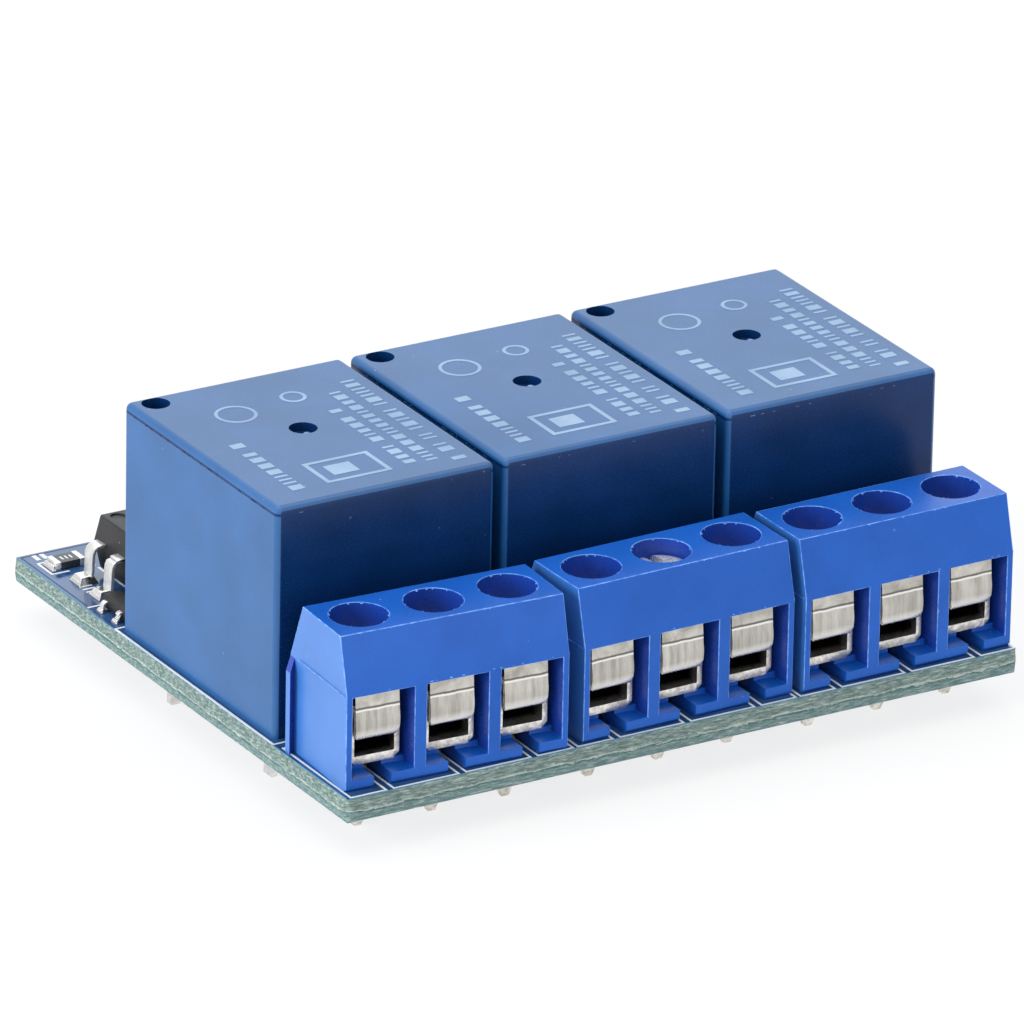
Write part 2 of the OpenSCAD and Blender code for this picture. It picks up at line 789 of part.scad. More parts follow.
module transistors() {
    color([0.2, 0.2, 0.21])
    for (c = channels)
        on_channel(c, board_d - driver_back) translate([transistor_x, 0, 0]) transistor();
}

module diode() {
    strap_l = diode_h * 0.24;
    translate([0, 0, chip_lift]) drafted_body(diode_l, diode_w, diode_h, diode_h * 0.1);
    for (s = [-1, 1])
        translate([s * (diode_l / 2 + strap_l * 0.1), 0, 0])
            bar(strap_l, -diode_strap / 2, diode_strap / 2, 0, diode_h / 2 + lap * 5);
}

module diodes() {
    color([0.2, 0.2, 0.21])
    for (c = channels)
        on_channel(c, board_d - driver_back) translate([diode_x, 0, 0]) diode();
}

// A chip part: ceramic body between two wrapped end caps.
module chip() {
    cap = 0.4;
    bar(chip_l - lap, -chip_w / 2, chip_w / 2, 0.04, chip_h - 0.04);
    for (s = [-1, 1])
        translate([s * (chip_l - cap) / 2, 0, 0])
            bar(cap, -chip_w / 2 - 0.02, chip_w / 2 + 0.02, 0, chip_h);
}

module resistors() {
    color([0.2, 0.2, 0.22]) {
        for (q = chip_spots)
            on_board(first_channel_x + q[0], board_d - chip_back) chip();
        for (c = channels)
            on_channel(c, board_d - driver_back)
                translate([base_resistor_x, 0, 0]) rotate([0, 0, 90]) chip();
    }
}

module leds() {
    color("mistyrose")
    for (q = led_spots)
        on_board(first_channel_x + q[0], board_d - chip_back) {
            chip();
            translate([0, 0, chip_h - 0.1])
                intersection() {
                    bar(chip_l * 0.62, -chip_w / 2, chip_w / 2, 0, 0.5);
                    rotate([90, 0, 0]) translate([0, -0.55, -chip_w / 2])
                        cylinder(r = 0.95, h = chip_w);
                }
        }
}

module header_body() {
    w = header_pitch;
    color([0.15, 0.15, 0.16])
    difference() {
        header_pin_places()
            translate([0, -w / 2, 0]) linear_extrude(header_h)
                polygon(cut_rect(w + lap, w, 0.3));
        header_pin_places() bar(header_pin, -header_pin / 2, header_pin / 2, -1, header_h + 1);
    }
}

module header_pins() {
    color("gold")
    header_pin_places()
        bar(header_pin, -header_pin / 2, header_pin / 2, -board_t - 1.4, header_pin_h);
}

// ---------------------------------------------------------------- solder

// The fillet of solder round one pin, under the board.
module fillet(side) {
    r = pin_hole_d(side) / 2 + solder_ring;
    translate([0, 0, -board_t])
        mirror([0, 0, 1])
            rotate_extrude($fn = 12)
                polygon([[0, 0], [r, 0], [r * 0.65, solder_h * 0.32], [side * 0.8, solder_h],
                         [0, solder_h]]);
}

module solder_joints() {
    color("lightsteelblue") {
        for (c = channels) {
            for (p = poles)
                at_pole(c, p)
                    difference() {
                        fillet(pin_w);
                        bar(pin_w, -pin_w / 2, pin_w / 2, -far, far);
                    }
            difference() {
                relay_pin_places(c) fillet(strip_w);
                at_relay(c) terminal_slots();
            }
        }
        header_pin_places()
            difference() {
                fillet(header_pin);
                bar(header_pin, -header_pin / 2, header_pin / 2, -far, far);
            }
    }
}

// ---------------------------------------------------------------- nodes

pcb();
for (c = channels) {
    k = c + 1;
    terminal_housing(c);
    contact_frames(c);
    for (p = poles) {
        clamp_screw(c, p);
        wire_guard(c, p);
    }
    relay_case(c);
    relay_base(c);
    relay_bobbin(c);
    relay_winding(c);
    relay_core(c);
    relay_yoke(c);
    relay_armature(c);
    relay_moving_contact(c);
    relay_terminals(c);
}
optocouplers();
transistors();
diodes();
resistors();
leds();
header_body();
header_pins();
solder_joints();
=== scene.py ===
"""A relay module board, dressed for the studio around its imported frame.

Each sub-assembly is a class that builds its own pieces. Lengths in the size
records are millimetres, and every finished mesh is in metres.
"""

from __future__ import annotations

import logging
import math
import random
from dataclasses import dataclass
from enum import Enum
from typing import Iterable, Sequence

import bmesh
import bpy
from mathutils import Matrix, Vector


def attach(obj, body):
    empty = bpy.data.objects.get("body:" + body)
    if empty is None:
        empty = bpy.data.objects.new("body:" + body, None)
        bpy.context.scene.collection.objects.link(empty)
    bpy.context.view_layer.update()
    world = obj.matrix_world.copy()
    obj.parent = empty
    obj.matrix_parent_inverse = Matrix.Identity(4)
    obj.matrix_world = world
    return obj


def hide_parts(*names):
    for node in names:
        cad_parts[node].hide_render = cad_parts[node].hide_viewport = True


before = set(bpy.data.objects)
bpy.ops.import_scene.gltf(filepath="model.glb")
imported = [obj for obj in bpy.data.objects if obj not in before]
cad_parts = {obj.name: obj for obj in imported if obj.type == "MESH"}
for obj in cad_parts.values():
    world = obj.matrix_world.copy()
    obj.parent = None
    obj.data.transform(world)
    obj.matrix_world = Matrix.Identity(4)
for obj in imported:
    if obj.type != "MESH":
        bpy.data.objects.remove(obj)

log = logging.getLogger("relay_module")

MM = 0.001
NEAR = 0.01 * MM
CHANNELS = range(3)
POLES = (-1, 0, 1)
SIDES = (-1, 1)
Colour = tuple[float, float, float]
Spot = tuple[float, float, float]
Outline = Sequence[tuple[float, float]]
Piece = bpy.types.Object
Material = bpy.types.Material
Node = bpy.types.Node
Socket = bpy.types.NodeSocket


class Axis(Enum):
    """The three axes of a place."""

    X = 0
    Y = 1
    Z = 2


# ---- places


@dataclass(frozen=True)
class BoardSize:
    """Outline of the circuit board.

    Attributes:
        width: Length along the row of terminals.
        depth: Length from the terminals to the pin header.
        thickness: Thickness of the laminate.
        top: Height of the parts side above the solder tails' tips.
    """

    width: float = 48.3
    depth: float = 42.3
    thickness: float = 1.6
    top: float = 3.95


BOARD = BoardSize()


@dataclass(frozen=True)
class Place:
    """A spot on the board's parts side, with its own turn about Z.

    Attributes:
        x: Distance from the board's left edge.
        y: Distance from the board's front edge.
        turn: Turn about Z, in degrees.
    """

    x: float = 0.0
    y: float = 0.0
    turn: float = 0.0

    def point(self, u: float, v: float, w: float) -> Vector:
        """Gives a point of this place in the shared frame."""
        turned = Matrix.Rotation(math.radians(self.turn), 3, "Z") @ Vector((u, v, 0))
        return MM * Vector((self.x - BOARD.width / 2 + turned.x,
                            self.y - BOARD.depth / 2 + turned.y, BOARD.top + w))

    def along(self, u: float, v: float, w: float) -> Vector:
        """Gives a direction of this place in the shared frame."""
        return self.point(u, v, w) - self.point(0, 0, 0)

    def moved(self, u: float, v: float) -> Place:
        """Gives a place with the same turn, moved within its own axes."""
        turned = Matrix.Rotation(math.radians(self.turn), 3, "Z") @ Vector((u, v, 0))
        return Place(self.x + turned.x, self.y + turned.y, self.turn)


@dataclass(frozen=True)
class ChannelLayout:
    """Where the channels and what belongs to them stand on the board.

    Attributes:
        first_x: Middle of the first channel, from the left edge.
        pitch: Distance between two channels.
        block_front: Front faces of the terminal blocks, from the front edge.
        block_depth: Depth of a terminal block.
        block_shifts: How far each block stands to the right of its channel.
        block_turns: How far each block is turned, in degrees.
        relay_front: Front faces of the relays, from the front edge.
    """

    first_x: float = 8.3
    pitch: float = 16.0
    block_front: float = 0.62
    block_depth: float = 7.5
    block_shifts: tuple[float, float, float] = (0.0, 0.16, 0.09)
    block_turns: tuple[float, float, float] = (-2.8, 1.3, 0.7)
    relay_front: float = 9.89

    def channel(self, index: int) -> Place:
        """Gives the front edge of a channel's centre line."""
        return Place(self.first_x + index * self.pitch, 0.0)

    def block(self, index: int) -> Place:
        """Gives the middle of a terminal block's front edge."""
        middle = Place(self.first_x + index * self.pitch + self.block_shifts[index],
                       self.block_front + self.block_depth / 2, self.block_turns[index])
        return middle.moved(0, -self.block_depth / 2)

    def relay(self, index: int) -> Place:
        """Gives the middle of a relay's front edge."""
        return Place(self.first_x + index * self.pitch, self.relay_front)


LAYOUT = ChannelLayout()


# ---- bench


def mark(action: str = "SELECT") -> None:
    """Selects everything in the open piece, or nothing with DESELECT."""
    bpy.ops.mesh.select_all(action=action)


class Bench:
    """Models pieces with Blender's own editing tools."""

    def clear(self) -> None:
        """Leaves edit mode and deselects every object."""
        if bpy.context.object and bpy.context.object.mode != "OBJECT":
            bpy.ops.object.mode_set(mode="OBJECT")
        bpy.ops.object.select_all(action="DESELECT")

    def pick(self, piece: Piece) -> None:
        """Selects one object and makes it active.

        Args:
            piece: The object.
        """
        self.clear()
        piece.select_set(True)
        bpy.context.view_layer.objects.active = piece

    def edit(self, piece: Piece) -> bmesh.types.BMesh:
        """Opens a piece for editing with nothing selected.

        Args:
            piece: The object.

        Returns:
            Its edit mesh.
        """
        self.pick(piece)
        bpy.ops.object.mode_set(mode="EDIT")
        bpy.ops.mesh.select_mode(type="VERT")
        mark("DESELECT")
        return bmesh.from_edit_mesh(piece.data)

    def start(self, name: str) -> Piece:
        """Starts an empty piece and opens it for editing.

        Args:
            name: The piece's name.

        Returns:
            The new object.
        """
        self.clear()
        bpy.ops.mesh.primitive_plane_add(size=MM, location=(0, 0, 0))
        piece = bpy.context.object
        piece.name = name
        piece.data.name = name
        bpy.ops.object.mode_set(mode="EDIT")
        mark()
        bpy.ops.mesh.delete(type="VERT")
        return piece

    def close(self, piece: Piece) -> Piece:
        """Turns all normals outwards and leaves edit mode.

        Args:
            piece: The piece being edited.

        Returns:
            The same piece.
        """
        mark()
        bpy.ops.mesh.normals_make_consistent(inside=False)
        mark("DESELECT")
        self.clear()
        return piece

    def box(self, place: Place, low: Spot, high: Spot) -> None:
        """Adds a box to the open piece.

        Args:
            place: Where the box stands.
            low: Its lowest corner in the place.
            high: Its highest corner in the place.
        """
        middle = [(a + b) / 2 for a, b in zip(low, high)]
        size = [(b - a) * MM for a, b in zip(low, high)]
        mark("DESELECT")
        bpy.ops.mesh.primitive_cube_add(size=1, location=place.point(*middle), scale=size,
                                        rotation=(0, 0, math.radians(place.turn)))

    def rod(self, place: Place, foot: Spot, radius: float, length: float,
            axis: Axis = Axis.Z, sides: int = 32, tip: float | None = None) -> None:
        """Adds a round rod or cone to the open piece.

        Args:
            place: Where the rod stands.
            foot: Middle of its lower end in the place.
            radius: Radius of the lower end.
            length: Length along the axis.
            axis: The axis it runs along.
            sides: Number of its sides.
            tip: Radius of the upper end, when it differs.
        """
        middle = list(foot)
        middle[axis.value] += length / 2
        tilt = {Axis.X: (0, math.pi / 2), Axis.Y: (-math.pi / 2, 0), Axis.Z: (0, 0)}[axis]
        mark("DESELECT")
        bpy.ops.mesh.primitive_cone_add(
            vertices=sides, radius1=radius * MM, radius2=(radius if tip is None else tip) * MM,
            depth=length * MM, location=place.point(*middle),
            rotation=(*tilt, math.radians(place.turn)))

    def prism(self, place: Place, outline: Outline, axis: Axis, start: float, stop: float) -> None:
        """Adds a straight prism to the open piece.

        Args:
            place: Where the prism stands.
            outline: Its section, in the place's two other axes.
            axis: The axis it runs along.
            start: Where it begins on that axis.
            stop: Where it ends on that axis.
        """
        def spot(pair: tuple[float, float], along: float) -> Vector:
            """Gives a point of the section at a distance along the axis."""
            full = list(pair)
            full.insert(axis.value, along)
            return place.point(*full)

        mark("DESELECT")
        bpy.ops.mesh.primitive_circle_add(vertices=len(outline), radius=MM, fill_type="NGON")
        mesh = bpy.context.object.data
        editing = bmesh.from_edit_mesh(mesh)
        fresh = [v for v in editing.verts if v.select]
        for vertex, pair in zip(fresh, outline):
            vertex.co = spot(pair, start)
        bmesh.update_edit_mesh(mesh)
        bpy.ops.mesh.extrude_region_move(TRANSFORM_OT_translate={
            "value": spot(outline[0], stop) - spot(outline[0], start)})

    def taper(self, place: Place, low: Spot, high: Spot, foot: float, head: float) -> None:
        """Adds a box whose ends are drawn in.

        Args:
            place: Where the box stands.
            low: Its lowest corner in the place.
            high: Its highest corner in the place.
            foot: How far each side of the lower end is drawn in.
            head: How far each side of the upper end is drawn in.
        """
        self.box(place, low, high)
        mesh = bpy.context.object.data
        editing = bmesh.from_edit_mesh(mesh)
        middle = place.point(*((a + b) / 2 for a, b in zip(low, high)))
        across, deep = place.along(1, 0, 0), place.along(0, 1, 0)
        for vertex in editing.verts:
            if vertex.select:
                arm = vertex.co - middle
                inset = head if arm.z > 0 else foot
                vertex.co -= math.copysign(inset, arm.dot(across)) * across
                vertex.co -= math.copysign(inset, arm.dot(deep)) * deep
        bmesh.update_edit_mesh(mesh)

    def drafted(self, name: str, place: Place, low: Spot, high: Spot, draft: float) -> Piece:
        """Makes a moulded body that is widest at half height.

        Args:
            name: The piece's name.
            place: Where the body stands.
            low: Its lowest corner in the place.
            high: Its highest corner in the place.
            draft: How far each side is drawn in at the top and the bottom.

        Returns:
            The body.
        """
        waist = (low[2] + high[2]) / 2
        piece = self.start(name)
        self.taper(place, low, (high[0], high[1], waist), draft, 0)
        self.taper(place, (low[0], low[1], waist), high, 0, draft)
        self.weld()
        return self.close(piece)

    def weld(self) -> None:
        """Welds the open piece's stacked parts and deletes the faces inside."""
        mark()
        bpy.ops.mesh.remove_doubles(threshold=0.001 * MM)
        mark("DESELECT")
        bpy.ops.mesh.select_mode(type="FACE")
        bpy.ops.mesh.select_interior_faces()
        bpy.ops.mesh.delete(type="FACE")

    def ring(self, place: Place, centre: Spot, outer: float, inner: float,
             height: float, sides: int = 32) -> None:
        """Adds a flat ring to the open piece.

        Args:
            place: Where the ring lies.
            centre: Middle of its underside in the place.
            outer: Outer radius.
            inner: Inner radius.
            height: Its height.
            sides: Number of its sides.
        """
        u, v, w = centre
        for index in range(sides):
            turns = [2 * math.pi * (index + k) / sides for k in (0, 1)]
            outline = [(u + r * math.cos(t), v + r * math.sin(t))
                       for r, t in ((outer, turns[0]), (outer, turns[1]),
                                    (inner, turns[1]), (inner, turns[0]))]
            self.prism(place, outline, Axis.Z, w, w + height)

    def boxes(self, name: str, place: Place, corners: Iterable[tuple[Spot, Spot]]) -> Piece:
        """Makes one piece of several boxes.

        Args:
            name: The piece's name.
            place: Where the boxes stand.
            corners: Lowest and highest corner of each box.

        Returns:
            The piece.
        """
        piece = self.start(name)
        for low, high in corners:
            self.box(place, low, high)
        return self.close(piece)

    def cast(self, node: str, name: str) -> Piece:
        """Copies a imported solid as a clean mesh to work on.

        Args:
            node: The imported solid.
            name: The new piece's name.

        Returns:
            The piece.
        """
        piece = bpy.data.objects.new(name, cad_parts[node].data.copy())
        piece.data.name = name
        piece.data.materials.clear()
        bpy.context.scene.collection.objects.link(piece)
        self.edit(piece)
        bpy.ops.mesh.customdata_custom_splitnormals_clear()
        mark()
        bpy.ops.mesh.remove_doubles(threshold=0.002 * MM)
        bpy.ops.mesh.dissolve_limited(angle_limit=math.radians(1.0))
        return self.close(piece)

    def modify(self, piece: Piece, kind: str, **settings: object) -> None:
        """Adds a modifier and applies it.

        Args:
            piece: The piece to change.
            kind: Blender's name for the modifier's type.
            **settings: Its settings.
        """
        self.pick(piece)
        bpy.ops.object.modifier_add(type=kind)
        modifier = piece.modifiers[-1]
        for key, value in settings.items():
            setattr(modifier, key, value)
        bpy.ops.object.modifier_apply(modifier=modifier.name)

    def cut(self, piece: Piece, tool: Piece) -> None:
        """Cuts one piece with another and throws the tool away.

        Args:
            piece: The piece to cut.
            tool: The piece to cut with.
        """
        self.modify(piece, "BOOLEAN", operation="DIFFERENCE", solver="EXACT", object=tool)
        self.pick(tool)
        bpy.ops.object.delete()

    def soften(self, piece: Piece, width: float, steps: int = 2,
               angle: float = 35.0, edge_slot: int = -1) -> None:
        """Rounds the sharp edges and evens the shading.

        Args:
            piece: The piece to round.
            width: Width of the rounding.
            steps: Number of faces across it.
            angle: Edges sharper than this are rounded, in degrees.
            edge_slot: Material slot for the rounded edges, or -1 for the faces' own.
        """
        while len(piece.data.materials) <= edge_slot:
            piece.data.materials.append(None)
        self.modify(piece, "BEVEL", width=width * MM, segments=steps, limit_method="ANGLE",
                    angle_limit=math.radians(angle), material=edge_slot,
                    use_clamp_overlap=True, miter_outer="MITER_ARC")
        self.smooth(piece)

    def smooth(self, piece: Piece, angle: float = 42.0) -> None:
        """Shades a piece smooth up to an angle, led by its larger faces.

        Args:
            piece: The piece.
            angle: Edges sharper than this stay sharp, in degrees.
        """
        self.pick(piece)
        bpy.ops.object.shade_smooth_by_angle(angle=math.radians(angle))
        self.modify(piece, "WEIGHTED_NORMAL", keep_sharp=True, weight=60)

    def join(self, name: str, pieces: Sequence[Piece]) -> Piece:
        """Joins several pieces into one.

        Args:
            name: The joined piece's name.
            pieces: The pieces; the first one keeps its place in the list.

        Returns:
            The joined piece.
        """
        self.clear()
        for piece in pieces:
            piece.select_set(True)
        bpy.context.view_layer.objects.active = pieces[0]
        bpy.ops.object.join()
        pieces[0].name = name
        pieces[0].data.name = name
        return pieces[0]

    def dress(self, piece: Piece, finishes: Sequence[Material],
              body: str, slot: str, nodes: Sequence[str] = ()) -> None:
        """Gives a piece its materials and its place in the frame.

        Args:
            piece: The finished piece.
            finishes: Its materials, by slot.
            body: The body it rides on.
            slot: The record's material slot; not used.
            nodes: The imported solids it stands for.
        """
        while len(piece.data.materials) < len(finishes):
            piece.data.materials.append(finishes[len(piece.data.materials)])
        for index, finish in enumerate(finishes):
            piece.data.materials[index] = finish
        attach(piece, body)
        if nodes:
            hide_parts(*nodes)
        log.info("%s: %d faces", piece.name, len(piece.data.polygons))


def ribbon(path: Outline, thickness: float) -> list[tuple[float, float]]:
    """Outlines a strip that is bent along a path.

    Args:
        path: Middle line of the strip.
        thickness: Thickness of the strip.

    Returns:
        The closed outline.
    """
    left, right = [], []
    for index, (a, b) in enumerate(path):
        before = path[max(index - 1, 0)]
        after = path[min(index + 1, len(path) - 1)]
        run = Vector((after[0] - before[0], after[1] - before[1])).normalized()
        left.append((a - run.y * thickness / 2, b + run.x * thickness / 2))
        right.append((a + run.y * thickness / 2, b - run.x * thickness / 2))
    return left + right[::-1]


# ---- shading


class NodeSheet:
    """Adds and joins nodes in one shader tree."""

    def __init__(self, tree: bpy.types.NodeTree) -> None:
        """Keeps the tree to work on."""
        self.tree = tree

    def add(self, kind: str, **values: object) -> Node:
        """Adds one node.

        Args:
            kind: The node's type without its "ShaderNode" start.
            **values: Attributes of the node, or input sockets by name with
                spaces written as underscores.

        Returns:
            The node.
        """
        node = self.tree.nodes.new("ShaderNode" + kind)
        for key, value in values.items():
            if hasattr(node, key):
                setattr(node, key, value)
            else:
                node.inputs[key.replace("_", " ")].default_value = value
        return node

    def join(self, source: Socket, target: Socket) -> None:
        """Links an output to an input."""
        self.tree.links.new(source, target)

    def feed(self, source: Socket | float, target: Socket) -> None:
        """Links a socket, or sets a plain value.

        Args:
            source: An output socket or a number.
            target: The input socket.
        """
        if isinstance(source, Socket):
            self.join(source, target)
        else:
            target.default_value = source

    def math(self, operation: str, a: Socket | float, b: Socket | float = 0.0) -> Socket:
        """Adds a math node.

        Args:
            operation: Blender's name for the operation.
            a: First value.
            b: Second value.

        Returns:
            Its result.
        """
        node = self.add("Math", operation=operation)
        self.feed(a, node.inputs[0])
        self.feed(b, node.inputs[1])
        return node.outputs[0]

    def ramp(self, value: Socket, low: float, high: float,
             bottom: float = 0.0, top: float = 1.0) -> Socket:
        """Stretches part of a value's range over another one, held at its ends.

        Args:
            value: The value.
            low: The value that gives the bottom.
            high: The value that gives the top.
            bottom: Lowest result.
            top: Highest result.

        Returns:
            The stretched value.
        """
        node = self.add("MapRange", clamp=True)
        self.join(value, node.inputs["Value"])
        for name, number in zip(("From Min", "From Max", "To Min", "To Max"),
                                (low, high, bottom, top)):
            node.inputs[name].default_value = number
        return node.outputs["Result"]

    def blend(self, mask: Socket | float, under: object, over: object) -> Socket:
        """Mixes two colours.

        Args:
            mask: How much of the upper colour shows.
            under: Colour or socket below.
            over: Colour or socket above.

        Returns:
            The mixed colour.
        """
        node = self.add("Mix", data_type="RGBA")
        self.feed(mask, node.inputs[0])
        for value, socket in ((under, node.inputs[6]), (over, node.inputs[7])):
            if isinstance(value, Socket):
                self.join(value, socket)
            else:
                socket.default_value = (*value, 1.0)
        return node.outputs[2]

    def spot(self) -> bpy.types.bpy_prop_collection:
        """Gives the object's own coordinates, one by one."""
        node = self.add("SeparateXYZ")
        self.join(self.add("TexCoord").outputs["Object"], node.inputs["Vector"])
        return node.outputs

    def noise(self, scale: float, detail: float = 3.0, rough: float = 0.5,
              stretch: Spot = (1, 1, 1)) -> Socket:
        """Adds noise that is fixed to the object.

        Args:
            scale: Features per metre.
            detail: Number of octaves.
            rough: Strength of the finer octaves.
            stretch: Scale along each axis.

        Returns:
            The noise's value.
        """
        place = self.add("TexCoord")
        mapping = self.add("Mapping")
        mapping.inputs["Scale"].default_value = stretch
        node = self.add("TexNoise", Scale=scale, Detail=detail, Roughness=rough)
        self.join(place.outputs["Object"], mapping.inputs["Vector"])
        self.join(mapping.outputs["Vector"], node.inputs["Vector"])
        return node.outputs["Fac"]


class EffectGroup:
    """One reusable shader node group with named inputs and outputs."""

    def __init__(self, name: str, inputs: dict[str, float], outputs: dict[str, str]) -> None:
        """Makes the group and its sockets.

        Args:
            name: The group's name.
            inputs: Float inputs and their defaults.
            outputs: Outputs and their socket types.
        """
        self.tree = bpy.data.node_groups.new(name, "ShaderNodeTree")
        for key, value in inputs.items():
            socket = self.tree.interface.new_socket(
                name=key, in_out="INPUT", socket_type="NodeSocketFloat")
            socket.default_value = value
        for key, kind in outputs.items():
            self.tree.interface.new_socket(name=key, in_out="OUTPUT", socket_type=kind)
        self.sheet = NodeSheet(self.tree)
        self.inputs = self.tree.nodes.new("NodeGroupInput").outputs
        self.outputs = self.tree.nodes.new("NodeGroupOutput").inputs

    def use(self, sheet: NodeSheet, **values: float) -> Node:
        """Places the group in a material.

        Args:
            sheet: The material's sheet.
            **values: Values for its inputs.

        Returns:
            The group's node.
        """
        node = sheet.tree.nodes.new("ShaderNodeGroup")
        node.node_tree = self.tree
        for key, value in values.items():
            node.inputs[key].default_value = value
        return node


class Effects:
    """The surface effects that several materials share."""

    def __init__(self) -> None:
        """Builds each group once."""
        self.specks = self._specks()
        self.grain = self._relief("moulded_grain", (9000.0, 0.00001), "Grain", (0.3, 0.7),
                                  Detail=2.0, Roughness=0.55)
        self.brushed = self._relief("rolled_lines", (2500.0, 0.000004), "Line", (0.3, 0.7),
                                    (1.0, 1.0, 0.06), Detail=3.0, Roughness=0.6)
        self.dents = self._relief("uneven_plating", (1800.0, 0.00004), "Patch", (0.35, 0.65),
                                  Detail=4.0, Roughness=0.6, Distortion=0.4)
        self.cloud = self._cloud()

    @staticmethod
    def _relief(name: str, defaults: tuple[float, float], mask: str,
                span: tuple[float, float], stretch: Spot = (1.0, 1.0, 1.0),
                **noise: float) -> EffectGroup:
        """Makes noise that gives a relief and a mask.

        Args:
            name: The group's name.
            defaults: Features per metre, and height of the relief in metres.
            mask: Name of the mask's output.
            span: Noise values where the mask starts and ends.
            stretch: Scale along each axis.
            **noise: Values for the noise.

        Returns:
            A group with the output Normal and the mask.
        """
        group = EffectGroup(name, {"Size": defaults[0], "Relief": defaults[1]},
                            {"Normal": "NodeSocketVector", mask: "NodeSocketFloat"})
        sheet = group.sheet
        place, mapping = sheet.add("TexCoord"), sheet.add("Mapping")
        mapping.inputs["Scale"].default_value = stretch
        field, bump = sheet.add("TexNoise", **noise), sheet.add("Bump", Strength=1.0)
        sheet.join(place.outputs["Object"], mapping.inputs["Vector"])
        sheet.join(mapping.outputs["Vector"], field.inputs["Vector"])
        sheet.join(group.inputs["Size"], field.inputs["Scale"])
        sheet.join(field.outputs["Fac"], bump.inputs["Height"])
        sheet.join(group.inputs["Relief"], bump.inputs["Distance"])
        sheet.join(bump.outputs["Normal"], group.outputs["Normal"])
        sheet.join(sheet.ramp(field.outputs["Fac"], *span), group.outputs[mask])
        return group

    @staticmethod
    def _cloud() -> EffectGroup:
        """Makes slow cloudy variation of a moulding's colour.

        Returns:
            A group with the output Cloud.
        """
        group = EffectGroup("moulded_cloud", {"Size": 220.0}, {"Cloud": "NodeSocketFloat"})
        sheet = group.sheet
        field = sheet.add("TexNoise", Detail=4.0, Roughness=0.55)
        sheet.join(sheet.add("TexCoord").outputs["Object"], field.inputs["Vector"])
        sheet.join(group.inputs["Size"], field.inputs["Scale"])
        sheet.join(sheet.ramp(field.outputs["Fac"], 0.35, 0.65), group.outputs["Cloud"])
        return group

    @staticmethod
    def _specks() -> EffectGroup:
        """Makes sparse dust and lint that has settled on a surface.

        Returns:
            A group with the output Mask.
        """
        group = EffectGroup("settled_specks", {"Density": 700.0, "Amount": 0.1},
                            {"Mask": "NodeSocketFloat"})
        sheet = group.sheet
        place = sheet.add("TexCoord")
        cells = sheet.add("TexVoronoi", Randomness=1.0)
        drift = sheet.add("TexNoise", Scale=400.0, Detail=2.0)
        sheet.join(place.outputs["Object"], cells.inputs["Vector"])
        sheet.join(place.outputs["Object"], drift.inputs["Vector"])
        sheet.join(group.inputs["Density"], cells.inputs["Scale"])
        dots = sheet.math("LESS_THAN", cells.outputs["Distance"], group.inputs["Amount"])
        kept = sheet.math("GREATER_THAN", drift.outputs["Fac"], 0.56)
        sheet.join(sheet.math("MULTIPLY", dots, kept), group.outputs["Mask"])
        return group


EFFECTS = Effects()


def new_material(name: str) -> tuple[Material, NodeSheet, Node]:
    """Makes an empty node material with one surface shader.

    Args:
        name: The material's name.

    Returns:
        The material, its sheet and its surface shader.
    """
    material = bpy.data.materials.new(name)
    material.use_nodes = True
    material.node_tree.nodes.clear()
    sheet = NodeSheet(material.node_tree)
    output = sheet.add("OutputMaterial")
    surface = sheet.add("BsdfPrincipled")
    sheet.join(surface.outputs["BSDF"], output.inputs["Surface"])
    return material, sheet, surface


@dataclass(frozen=True)
class MouldedPlastic:
    """A moulded plastic.

    Attributes:
        name: The material's name.
        deep: Its colour where it is darkest.
        pale: Its colour where it is lightest.
        gloss: Lowest and highest roughness.
        grain: Grains per metre.
        relief: Height of the grain, in metres.
        dust: Size of the dust specks, from 0.
        reflect: Strength of its reflection.
        cloud: Patches per metre in its colour.
    """

    name: str
    deep: Colour
    pale: Colour
    gloss: tuple[float, float] = (0.34, 0.44)
    grain: float = 9000.0
    relief: float = 0.000006
    dust: float = 0.05
    reflect: float = 0.5
    cloud: float = 220.0

    def make(self) -> Material:
        """Builds the material.

        Returns:
            The material.
        """
        material, sheet, surface = new_material(self.name)
        grain = EFFECTS.grain.use(sheet, Size=self.grain, Relief=self.relief)
        cloud = EFFECTS.cloud.use(sheet, Size=self.cloud)
        specks = EFFECTS.specks.use(sheet, Amount=self.dust)
        shade = sheet.blend(cloud.outputs["Cloud"], self.deep, self.pale)
        dusty = tuple(0.8 * c + 0.12 for c in self.pale)
        sheet.join(sheet.blend(specks.outputs["Mask"], shade, dusty),
                   surface.inputs["Base Color"])
        sheet.join(sheet.ramp(grain.outputs["Grain"], 0.0, 1.0, *self.gloss),
                   surface.inputs["Roughness"])
        sheet.join(grain.outputs["Normal"], surface.inputs["Normal"])
        surface.inputs["Specular IOR Level"].default_value = self.reflect
        return material


